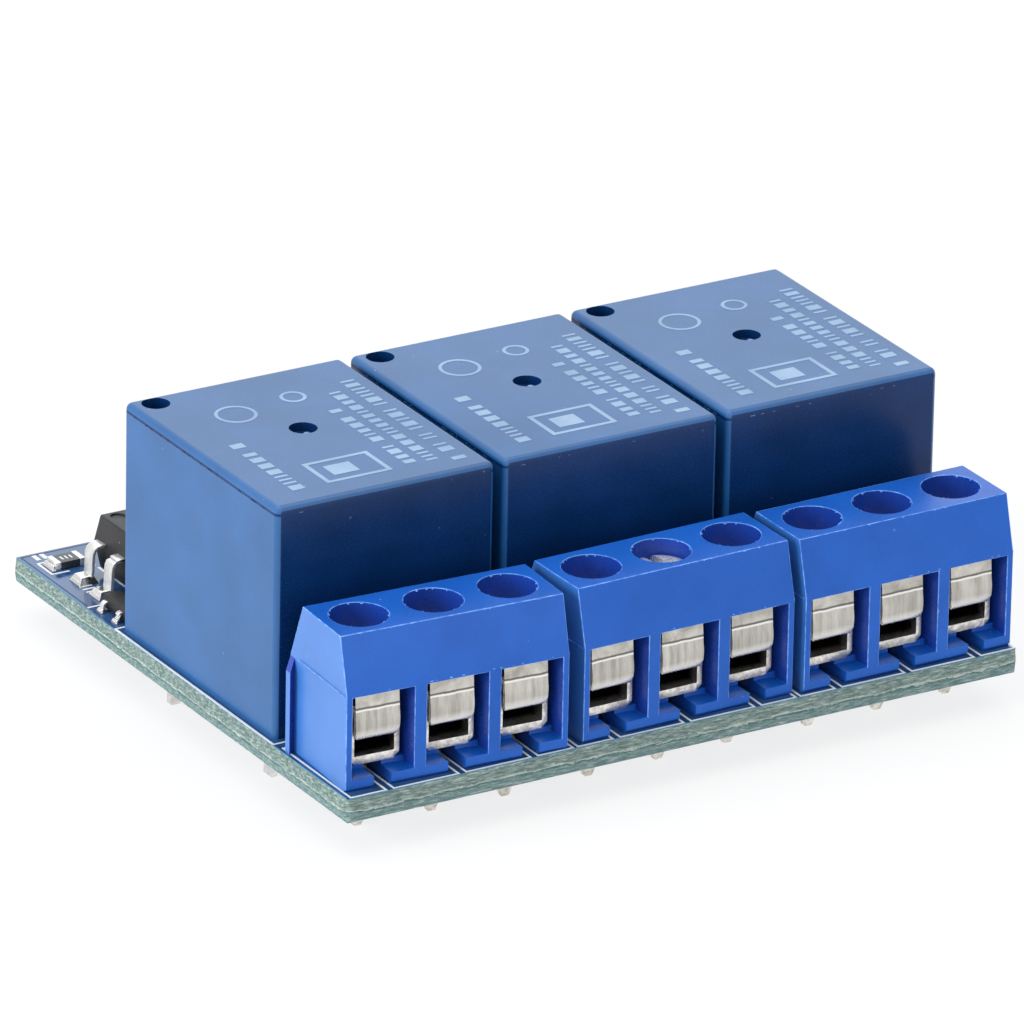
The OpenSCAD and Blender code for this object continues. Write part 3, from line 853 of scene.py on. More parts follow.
@dataclass(frozen=True)
class StripMetal:
    """Rolled and plated sheet metal.

    Attributes:
        name: The material's name.
        deep: Its colour in the rolling lines.
        pale: Its colour between them.
        gloss: Lowest and highest roughness.
        relief: Height of the rolling lines, in metres.
        lines: Lines per metre.
        fold: Height of a fold across the sheet, in metres, or 0 without one; the fold gets a
            painted shade line with a painted highlight line below it.
        lip: Height of its lower lip, in metres; the metal is painted paler near it, fading out 0.7
            mm above, a painted sheen.
    """

    name: str
    deep: Colour
    pale: Colour
    gloss: tuple[float, float] = (0.2, 0.4)
    relief: float = 0.000004
    lines: float = 2500.0
    fold: float = 0.0
    lip: float = 0.0

    def make(self) -> Material:
        """Builds the material.

        Returns:
            The material.
        """
        material, sheet, surface = new_material(self.name)
        brushed = EFFECTS.brushed.use(sheet, Size=self.lines, Relief=self.relief)
        dents = EFFECTS.dents.use(sheet, Size=700.0, Relief=0.00001)
        shade = sheet.blend(brushed.outputs["Line"], self.deep, self.pale)
        if self.fold:
            spot = sheet.spot()
            above = sheet.math("SUBTRACT", spot["Z"], self.fold)
            wavy = sheet.math("ADD", above, sheet.math("MULTIPLY", dents.outputs["Patch"], 6e-5))
            crease_shade = tuple(0.45 * c for c in self.deep)
            flat = sheet.blend(dents.outputs["Patch"], self.deep, self.pale)
            shade = sheet.blend(sheet.ramp(above, -0.0001, 0.0001), shade, flat)
            # Painted highlight: a bright line just below the crease.
            bright = sheet.ramp(sheet.math("ABSOLUTE", sheet.math("ADD", wavy, 1.4e-4)),
                                4e-5, 9e-5, 1.0, 0.0)
            shade = sheet.blend(bright, shade, (0.80, 0.79, 0.76))
            # Painted shade: a dark line along the crease.
            shade = sheet.blend(sheet.ramp(sheet.math("ABSOLUTE", wavy), 4e-5, 9e-5, 1.0, 0.0),
                                shade, crease_shade)
            # Painted sheen: paler metal along the lower lip.
            low = sheet.ramp(spot["Z"], self.lip, self.lip + 0.0007, 1.0, 0.0)
            shade = sheet.blend(low, shade, (0.86, 0.85, 0.82))
        sheet.join(shade, surface.inputs["Base Color"])
        mixed = sheet.math("MULTIPLY", brushed.outputs["Line"], dents.outputs["Patch"])
        sheet.join(sheet.ramp(mixed, 0.0, 1.0, *self.gloss), surface.inputs["Roughness"])
        sheet.join(brushed.outputs["Normal"], surface.inputs["Normal"])
        surface.inputs["Metallic"].default_value = 1.0
        return material


@dataclass(frozen=True)
class PlatedMetal:
    """Cast, dipped or soldered metal with an uneven skin.

    Attributes:
        name: The material's name.
        deep: Its colour in the dull patches.
        pale: Its colour in the bright patches.
        gloss: Lowest and highest roughness.
        lumps: Lumps per metre.
        relief: Height of the lumps, in metres.
        metal: Share of the surface that reflects as metal.
        shaded_from: Depth and height from which the metal is darkened by painted shade, in metres.
    """

    name: str
    deep: Colour
    pale: Colour
    gloss: tuple[float, float] = (0.2, 0.45)
    lumps: float = 1800.0
    relief: float = 0.00004
    metal: float = 1.0
    shaded_from: tuple[float, float] | None = None

    def make(self) -> Material:
        """Builds the material.

        Returns:
            The material.
        """
        material, sheet, surface = new_material(self.name)
        dents = EFFECTS.dents.use(sheet, Size=self.lumps, Relief=self.relief)
        shade = sheet.blend(dents.outputs["Patch"], self.deep, self.pale)
        if self.shaded_from:
            spot = sheet.spot()
            deep, high = self.shaded_from
            # Painted shade: near-black metal further in than this depth and above the board,
            # inside the blocks where little light reaches.
            inside = sheet.math("MULTIPLY", sheet.ramp(spot["Y"], deep, deep + 0.0006),
                                sheet.ramp(spot["Z"], high, high + 0.0002))
            shade = sheet.blend(inside, shade, (0.05, 0.035, 0.02))
        sheet.join(shade, surface.inputs["Base Color"])
        sheet.join(sheet.ramp(dents.outputs["Patch"], 0.0, 1.0, self.gloss[1], self.gloss[0]),
                   surface.inputs["Roughness"])
        sheet.join(dents.outputs["Normal"], surface.inputs["Normal"])
        surface.inputs["Metallic"].default_value = self.metal
        return material


@dataclass(frozen=True)
class MaskedLaminate:
    """Glass-fibre laminate: a glossy mask on its faces and a broken edge.

    Attributes:
        name: The material's name.
        mask: Colour of the mask over bare laminate.
        copper: Colour of the mask over the copper fill.
        edge: Colour of the scored edge.
        fibre: Colour of the broken glass fibres.
    """

    name: str
    mask: Colour = (0.018, 0.062, 0.17)
    copper: Colour = (0.03, 0.09, 0.23)
    edge: Colour = (0.08, 0.14, 0.13)
    fibre: Colour = (0.50, 0.56, 0.50)

    def make(self) -> Material:
        """Builds the material.

        Returns:
            The material.
        """
        material, sheet, surface = new_material(self.name)
        place = sheet.add("TexCoord")
        normal = sheet.add("SeparateXYZ")
        sheet.join(place.outputs["Normal"], normal.inputs["Vector"])
        flat = sheet.ramp(sheet.math("ABSOLUTE", normal.outputs["Z"]), 0.86, 0.9)
        cloud = sheet.ramp(sheet.noise(260.0, 2.0), 0.4, 0.6)
        weave = sheet.ramp(sheet.noise(7000.0, 4.0, 0.75, (0.2, 0.4, 1.0)), 0.4, 0.62)
        streak = sheet.noise(9000.0, 3.0, 0.65, (0.12, 0.3, 1.2))
        crack = sheet.ramp(sheet.noise(2200.0, 5.0, 0.8, (0.4, 0.4, 1.5)), 0.45, 0.62)
        face = sheet.blend(cloud, self.mask, self.copper)
        spot = sheet.spot()
        height = sheet.math("DIVIDE", sheet.math("SUBTRACT", spot["Z"],
                                                 (BOARD.top - BOARD.thickness) * MM),
                            BOARD.thickness * MM)
        upper = sheet.blend(weave, self.edge, (0.27, 0.35, 0.32))
        lower = sheet.blend(weave, (0.08, 0.17, 0.17), (0.25, 0.36, 0.35))
        rough = sheet.math("ADD", height, sheet.math("MULTIPLY", crack, 0.10))
        side = sheet.blend(sheet.ramp(rough, 0.48, 0.52), lower, upper)
        side = sheet.blend(sheet.ramp(streak, 0.56, 0.66), side, (0.42, 0.51, 0.48))
        side = sheet.blend(sheet.ramp(streak, 0.34, 0.43, 1.0, 0.0), side, (0.06, 0.15, 0.15))
        for level, colour in ((0.46, (0.03, 0.12, 0.11)), (0.53, self.fibre)):
            line = sheet.ramp(sheet.math("ABSOLUTE", sheet.math("SUBTRACT", rough, level)),
                              0.015, 0.045, 1.0, 0.0)
            broken = sheet.math("MULTIPLY", line, sheet.ramp(weave, 0.0, 0.6, 0.5, 1.0))
            side = sheet.blend(broken, side, colour)
        rim = sheet.ramp(height, 0.955, 0.97)
        side = sheet.blend(rim, side, (0.05, 0.22, 0.36))
        sheet.join(sheet.blend(flat, side, face), surface.inputs["Base Color"])
        surface.inputs["Specular IOR Level"].default_value = 0.8
        sheet.join(sheet.ramp(flat, 0.0, 1.0, 0.75, 0.16), surface.inputs["Roughness"])
        bump = sheet.add("Bump", Strength=0.8, Distance=0.00006)
        relief = sheet.math("MULTIPLY", weave, sheet.math("SUBTRACT", 1.0, flat))
        sheet.join(relief, bump.inputs["Height"])
        sheet.join(bump.outputs["Normal"], surface.inputs["Normal"])
        return material


class Finishes:
    """All materials of the module, made once."""

    def __init__(self) -> None:
        """Makes every material."""
        # Two copies of the cover plastic: the paler, more reflective one for the top and sides is
        # painted light; the darker one for the front and back faces, bores and seam is painted
        # shade.
        self.relay = MouldedPlastic(
            "relay_cover_lit_faces", (0.007, 0.076, 0.225), (0.011, 0.092, 0.27), gloss=(0.3, 0.4),
            relief=0.000003, reflect=0.6).make()
        self.relay_shaded = MouldedPlastic(
            "relay_cover_shaded_faces", (0.002, 0.024, 0.095), (0.003, 0.030, 0.125),
            gloss=(0.22, 0.3), relief=0.000002, reflect=0.25).make()
        # Paler plastic for the cover's edges left sharp, chiefly the hole rims: a painted
        # highlight.
        self.relay_edge_highlight = MouldedPlastic(
            "relay_cover_edge_highlight", (0.03, 0.13, 0.34), (0.05, 0.18, 0.44), gloss=(0.3, 0.4)).make()
        # Pale plastic for the gate stub and the seam flash: real flash and stub, coloured far
        # paler than the cover as a painted highlight.
        self.relay_flash_highlight = MouldedPlastic(
            "relay_seam_flash_highlight", (0.06, 0.18, 0.42), (0.20, 0.36, 0.62), gloss=(0.4, 0.6)).make()
        self.base = MouldedPlastic(
            "relay_base_blue", (0.010, 0.075, 0.30), (0.014, 0.095, 0.36),
            gloss=(0.4, 0.55)).make()
        self.block = MouldedPlastic(
            "terminal_blue", (0.005, 0.086, 0.42), (0.008, 0.104, 0.49), gloss=(0.26, 0.38),
            relief=0.000003, reflect=0.3).make()
        # Bright blue for the blocks' rounded edges, burrs and parting lines: a painted highlight.
        self.block_edge_highlight = MouldedPlastic(
            "terminal_blue_edge_highlight", (0.03, 0.15, 0.58), (0.19, 0.40, 0.92), gloss=(0.25, 0.4),
            relief=0.000003, cloud=2200.0).make()
        # Paler, more reflective copy of the block plastic for the end faces: painted light, the
        # sheen of the side lighting.
        self.block_end_lit = MouldedPlastic(
            "terminal_blue_end_lit", (0.03, 0.14, 0.44), (0.04, 0.165, 0.50), gloss=(0.34, 0.44),
            relief=0.000003, reflect=0.9).make()
        # Darker, more violet copy for the hole walls and the inner chambers: painted shade in the
        # recesses.
        self.block_recess_shade = MouldedPlastic(
            "terminal_blue_recess_shade", (0.010, 0.045, 0.30), (0.014, 0.055, 0.36), gloss=(0.25, 0.35),
            relief=0.000002, reflect=0.25).make()
        self.bobbin = MouldedPlastic("bobbin_white", (0.62, 0.60, 0.54), (0.70, 0.68, 0.62)).make()
        self.winding = StripMetal(
            "enamelled_copper_wire", (0.42, 0.12, 0.04), (0.62, 0.22, 0.08), (0.2, 0.35),
            lines=9000.0).make()
        self.iron = StripMetal(
            "soft_iron_strip", (0.34, 0.34, 0.35), (0.48, 0.48, 0.48), (0.3, 0.5)).make()
        self.bronze = StripMetal(
            "contact_bronze_leaf", (0.52, 0.30, 0.13), (0.70, 0.44, 0.22), (0.2, 0.35)).make()
        # The fold and lip heights place the guard's painted crease shade, crease highlight and lip
        # sheen.
        self.guard = StripMetal(
            "guard_steel", (0.36, 0.34, 0.31), (0.60, 0.58, 0.54), (0.22, 0.42),
            fold=(BOARD.top + 5.05) * MM, lip=(BOARD.top + 2.95) * MM).make()
        # The cage's inner parts are darkened by painted shade.
        self.cage = PlatedMetal(
            "tinned_brass_cage", (0.50, 0.47, 0.42), (0.90, 0.87, 0.82), (0.28, 0.5), lumps=2600.0,
            shaded_from=(-18.9 * MM, BOARD.top * MM)).make()
        self.zinc = PlatedMetal(
            "zinc_screw", (0.66, 0.67, 0.69), (0.95, 0.96, 0.97), (0.16, 0.34), lumps=1500.0,
            relief=0.00001, metal=0.6).make()
        self.tin = PlatedMetal(
            "tinned_terminal_strip", (0.60, 0.59, 0.57), (0.82, 0.81, 0.79), (0.2, 0.38)).make()
        self.solder = PlatedMetal(
            "set_solder", (0.62, 0.62, 0.61), (0.88, 0.87, 0.86), (0.14, 0.30), lumps=900.0,
            relief=0.00003).make()
        self.laminate = MaskedLaminate("masked_laminate").make()
        self.epoxy = MouldedPlastic(
            "black_epoxy_body", (0.012, 0.012, 0.013), (0.020, 0.020, 0.022), gloss=(0.38, 0.5),
            grain=14000.0, reflect=0.35).make()
        self.ceramic = MouldedPlastic(
            "chip_ceramic_body", (0.022, 0.022, 0.024), (0.04, 0.04, 0.043),
            gloss=(0.25, 0.35)).make()
        self.lead = PlatedMetal(
            "tinned_lead", (0.66, 0.66, 0.65), (0.86, 0.86, 0.85), (0.3, 0.5), lumps=1500.0,
            metal=0.85).make()
        self.led = MouldedPlastic(
            "led_water_clear", (0.46, 0.50, 0.42), (0.62, 0.66, 0.56), gloss=(0.12, 0.2),
            relief=0.0000005).make()
        self.header = MouldedPlastic(
            "header_black", (0.010, 0.010, 0.011), (0.020, 0.020, 0.022), gloss=(0.35, 0.5)).make()
        self.gold = PlatedMetal(
            "gold_flashed_pin", (0.72, 0.48, 0.16), (0.90, 0.66, 0.28), (0.14, 0.26),
            relief=0.00001).make()
        self.mask_line = MouldedPlastic(
            "mask_over_gap", (0.008, 0.035, 0.12), (0.012, 0.05, 0.15), gloss=(0.2, 0.3),
            relief=0.000001, dust=0.0, reflect=0.1).make()
        self.track = MouldedPlastic(
            "mask_over_track", (0.03, 0.15, 0.36), (0.04, 0.18, 0.42), gloss=(0.15, 0.25),
            relief=0.000001, dust=0.0).make()
        self.relay_print = MouldedPlastic(
            "pad_print_grey", (0.20, 0.31, 0.48), (0.29, 0.41, 0.58), gloss=(0.45, 0.6),
            relief=0.000002, dust=0.0).make()
        self.board_print = MouldedPlastic(
            "screen_print_white", (0.66, 0.70, 0.72), (0.80, 0.83, 0.84), gloss=(0.5, 0.6),
            relief=0.000002, dust=0.0).make()


# ---- terminal blocks


@dataclass
class SubAssembly:
    """A group of pieces that belong together.

    Attributes:
        bench: The bench to build on.
        finishes: The module's materials.
    """

    bench: Bench
    finishes: Finishes


@dataclass(frozen=True)
class BlockSize:
    """Sizes of a three-pole terminal block.

    Attributes:
        pitch: Distance between two poles.
        depth: Depth of the block.
        height: Height of the block.
        ledge: Height where the front starts to slope.
        front_slope: How far the front leans back above the ledge.
        screw_y: Screw axis, from the front face.
        rim: Radius of a driver hole at its rim.
        rim_hold: Radius within which a vertex belongs to the rim.
        opening: Width of a cage's opening.
        tail: Side of a cage's solder pin.
        nip: Height up to which the solder pins are nipped to a point.
        rounding: Rounding of the moulded edges.
        guard_w: Width of a guard plate.
        guard_lip: Width of the guard's lip.
        guard_t: Thickness of the guard sheet.
        guard_y: Front of the guard plate, from the front face.
        guard_z: Underside of the guard's lip.
        guard_top: Top of the guard plate.
        guard_crease: Height of the guard's crease.
        guard_bulge: How far the plate bulges below the crease.
        guard_cut: Height of the plate's cut corners.
        lip_back: Back end of the guard's lip.
    """

    pitch: float = 5.08
    depth: float = 7.5
    height: float = 10.0
    ledge: float = 6.35
    front_slope: float = 0.96
    screw_y: float = 3.47
    rim: float = 1.86
    rim_hold: float = 2.1
    opening: float = 2.72
    tail: float = 0.95
    nip: float = 0.9
    rounding: float = 0.045
    guard_w: float = 3.0
    guard_lip: float = 2.62
    guard_t: float = 0.25
    guard_y: float = 0.90
    guard_z: float = 2.9
    guard_top: float = 6.1
    guard_crease: float = 5.05
    guard_bulge: float = 0.2
    guard_cut: float = 0.5
    lip_back: float = 4.9


@dataclass
class TerminalBlock(SubAssembly):
    """A three-pole terminal block with its cages, screws and wire guards.

    Attributes:
        number: The channel, from 1.
        size: The block's sizes.
    """

    number: int
    size: BlockSize = BlockSize()

    def __post_init__(self) -> None:
        """Looks up where the block stands."""
        self.place = LAYOUT.block(self.number - 1)

    def build(self) -> None:
        """Builds the block's pieces."""
        self._housing()
        self._burrs()
        self._cages()
        for pole in (1, 2, 3):
            self._screw(pole)
            self._guard(pole)

    def _housing(self) -> None:
        """Draws in the rims of the driver holes and rounds the moulded edges, which take a painted
        highlight; the end faces take painted light and the hole walls and chambers painted shade.
        """
        size = self.size
        node = f"terminal_housing_{self.number}"
        piece = self.bench.cast(node, f"terminal_block_{self.number}")
        editing = self.bench.edit(piece)
        for pole in POLES:
            middle = self.place.point(pole * size.pitch, size.screw_y, size.height)
            for vertex in editing.verts:
                arm = vertex.co - middle
                if abs(arm.z) < NEAR and arm.length < size.rim_hold * MM:
                    vertex.co = middle + arm.normalized() * size.rim * MM
        bmesh.update_edit_mesh(piece.data)
        self.bench.close(piece)
        finishes = [self.finishes.block, self.finishes.block_edge_highlight,
                    self.finishes.block_end_lit, self.finishes.block_recess_shade]
        for finish in finishes:
            piece.data.materials.append(finish)
        across, inward = (self.place.along(*axis).normalized() for axis in ((1, 0, 0), (0, 1, 0)))
        origin, half = self.place.point(0, 0, 0), 1.5 * size.pitch * MM
        editing = self.bench.edit(piece)
        bpy.ops.mesh.select_mode(type="EDGE")
        for face in editing.faces:
            spot = face.calc_center_median() - origin
            off, deep, high = (n / MM for n in (spot.dot(across), spot.dot(inward), spot.z))
            pole = size.pitch * max(-1, min(1, round(off / size.pitch)))
            # The end faces take the lit copy in slot 2: painted light.
            if abs(face.normal.dot(across)) > 0.9 and abs(off) > half / MM - 0.1:
                face.material_index = 2
            # Hole walls and inner chamber faces take the darker copy in slot 3: painted shade.
            elif (size.ledge < high < size.height - 0.01
                  and math.hypot(off - pole, deep - size.screw_y) < size.rim_hold
                  or 1.3 < high < size.ledge - 0.05 and 0.3 < deep < size.depth - 0.3):
                face.material_index = 3
        for edge in editing.edges:
            middle = (edge.verts[0].co + edge.verts[1].co) / 2 - origin
            rim = all(abs(v.co.z - origin.z - size.height * MM) < NEAR for v in edge.verts)
            sharp = len(edge.link_faces) == 2 and edge.calc_face_angle(0) > 0.5
            railed = (abs(middle.dot(across)) > half - 1.3 * MM
                      and middle.dot(inward) > size.depth * MM - 1.3 * MM
                      and middle.z < size.ledge * MM - 0.05 * MM)
            edge.select_set(sharp and (rim or edge.calc_length() > 0.45 * MM and not railed))
        bmesh.update_edit_mesh(piece.data)
        # The rounded edges take slot 1, the painted edge highlight.
        bpy.ops.mesh.bevel(offset=size.rounding * MM, segments=2, affect="EDGES", material=1,
                           clamp_overlap=False)
        # The feet keep the plain plastic, without the painted highlight.
        for face in bmesh.from_edit_mesh(piece.data).faces:
            if face.material_index == 1 and face.calc_center_median().z < origin.z + 1.3 * MM:
                face.material_index = 0
        self.bench.close(piece)
        self.bench.smooth(piece)
        self.bench.dress(piece, finishes, "board", "terminal_plastic", [node])

    def _burrs(self) -> None:
        """Adds the parting line of the end faces and the burrs of the edges, in the colour of the
        painted edge highlight.
        """
        size, bench, place = self.size, self.bench, self.place
        chance = random.Random(90 + self.number)
        half, proud = 1.5 * size.pitch + 0.06, 0.02
        piece = bench.start(f"terminal_burrs_{self.number}")
        for side in SIDES:
            x = side * (half + proud / 2)
            bench.box(place, (x - proud, 0.12, size.ledge - 0.02),
                      (x + proud, size.depth - 1.2, size.ledge + 0.02))
        for _ in range(16):
            along = chance.uniform(-half + 0.2, half - 0.4)
            length, deep = chance.uniform(0.06, 0.22), chance.uniform(0.02, 0.05)
            y, z = chance.choice(((size.front_slope, size.height - 0.05), (0.02, size.ledge)))
            bench.taper(place, (along, y - deep, z - 0.03), (along + length, y + 0.05, z + 0.03),
                        0.0, 0.012)
        for pole in POLES:
            for _ in range(9):
                turn, wide = chance.uniform(0, 2 * math.pi), chance.uniform(0.03, 0.08)
                x = pole * size.pitch + (size.rim - 0.02) * math.cos(turn)
                y = size.screw_y + (size.rim - 0.02) * math.sin(turn)
                bench.taper(place, (x - wide, y - wide, size.height - 0.09),
                            (x + wide, y + wide, size.height - 0.005), 0.0, wide * 0.6)
        bench.close(piece)
        bench.smooth(piece)
        bench.dress(piece, [self.finishes.block_edge_highlight], "board", "terminal_plastic")

    def _cages(self) -> None:
        """Rounds the folded cages and nips the ends of their solder pins."""
        node = f"contact_frames_{self.number}"
        piece = self.bench.cast(node, f"wire_cages_{self.number}")
        self.bench.edit(piece)
        for pole in POLES:
            for wall in (-self.size.opening / 2, self.size.opening / 2):
                mark()
                bpy.ops.mesh.bisect(plane_co=self.place.point(pole * self.size.pitch + wall, 0, 0),
                                    plane_no=self.place.along(1, 0, 0).normalized(),
                                    threshold=NEAR)
                bpy.ops.mesh.mark_seam()
        mark()
        bpy.ops.mesh.dissolve_limited(angle_limit=math.radians(1.0), delimit={"NORMAL", "SEAM"})
        mark()
        bpy.ops.mesh.bisect(plane_co=(0, 0, self.size.nip * MM), plane_no=(0, 0, 1))
        editing = bmesh.from_edit_mesh(piece.data)
        for pole in POLES:
            axis = self.place.point(pole * self.size.pitch, self.size.screw_y, 0)
            for vertex in editing.verts:
                arm = vertex.co - axis
                arm.z = 0
                if vertex.co.z < NEAR and arm.length < 1.0 * MM:
                    vertex.co -= 0.5 * arm
        bmesh.update_edit_mesh(piece.data)
        self.bench.close(piece)
        self.bench.modify(piece, "TRIANGULATE", min_vertices=5)
        self.bench.soften(piece, 0.06, 2, 30.0)
        self.bench.dress(piece, [self.finishes.cage], "board", "tinned_brass", [node])

    def _screw(self, pole: int) -> None:
        """Rounds a clamp screw's head and slots.

        Args:
            pole: The pole, from 1.
        """
        node = f"clamp_screw_{self.number}{pole}"
        piece = self.bench.cast(node, f"cage_screw_{self.number}{pole}")
        self.bench.soften(piece, 0.05, 2, 40.0)
        self.bench.dress(piece, [self.finishes.zinc], f"screw_{self.number}{pole}",
                         "zinc_steel", [node])

    def _guard(self, pole: int) -> None:
        """Folds a wire guard: a creased plate with a lip under the screw.

        Args:
            pole: The pole, from 1.
        """
        size = self.size
        place = self.place.moved((pole - 2) * size.pitch, 0)
        drop = size.guard_crease - size.guard_z
        bulge = size.guard_bulge
        front = [(0.0, size.guard_top), (0.0, size.guard_crease + 0.06),
                 (-0.02, size.guard_crease - 0.04),
                 (-0.6 * bulge, size.guard_crease - 0.21 * drop),
                 (-0.95 * bulge, size.guard_crease - 0.42 * drop),
                 (-bulge, size.guard_crease - 0.58 * drop),
                 (-0.8 * bulge, size.guard_crease - 0.78 * drop),
                 (-0.3 * bulge, size.guard_z + 0.13), (0.02, size.guard_z + 0.03),
                 (0.1, size.guard_z)]
        back = [(y + size.guard_t, z) for y, z in front[:-2]]
        outline = ([(size.guard_y + y, z) for y, z in front]
                   + [(size.lip_back, size.guard_z), (size.lip_back, size.guard_z + size.guard_t),
                      (size.guard_y + 0.4, size.guard_z + size.guard_t)]
                   + [(size.guard_y + y, z) for y, z in reversed(back)])
        piece = self.bench.start(f"wire_guard_plate_{self.number}{pole}")
        self.bench.prism(place, outline, Axis.X, -size.guard_w / 2, size.guard_w / 2)
        editing = bmesh.from_edit_mesh(piece.data)
        across, origin = place.along(1, 0, 0).normalized(), place.point(0, 0, size.guard_z)
        waist = (size.guard_w - size.guard_lip) / 2 * MM
        for vertex in editing.verts:
            arm = vertex.co - origin
            draw = waist * max(0.0, 1.0 - max(arm.z, 0.0) / (size.guard_cut * MM))
            vertex.co -= math.copysign(draw, arm.dot(across)) * across
        bmesh.update_edit_mesh(piece.data)
        self.bench.close(piece)
        self.bench.soften(piece, 0.04, 1, 50.0)
        self.bench.dress(piece, [self.finishes.guard], f"guard_{self.number}{pole}",
                         "guard_steel", [f"wire_guard_{self.number}{pole}"])


# ---- relays


@dataclass(frozen=True)
class RelaySize:
    """Sizes of a relay's cover.

    Attributes:
        width: Width of the cover.
        depth: Depth of the cover.
        height: Height of the cover.
        wall: Wall of the cover.
        corner: Radius of the upright edges.
        shoulder: Rounding of the top edge.
        seam_down: Seam line, from the top.
        seam_cut: Depth of the seam line.
        vent: Radius of the vent hole.
        vent_x: Vent hole, from the left face.
        vent_back: Vent hole, from the back face.
        gate_back: Gate dimple, from the back face.
        gate_depth: Depth of the gate dimple.
        print_t: Thickness of the print.
        tail: Side of a pin's hole in the board.
        pins: The pins, from the middle of the front face.
    """

    width: float = 15.38
    depth: float = 19.16
    height: float = 15.38
    wall: float = 0.7
    corner: float = 0.42
    shoulder: float = 0.42
    seam_down: float = 0.62
    seam_cut: float = 0.10
    vent: float = 0.9
    vent_x: float = 1.6
    vent_back: float = 1.18
    gate_back: float = 8.87
    gate_depth: float = 0.55
    print_t: float = 0.015
    tail: float = 1.0
    pins: Outline = ((-6, 3.4), (6, 3.4), (-6, 15.6), (6, 15.6), (0, 17.6))


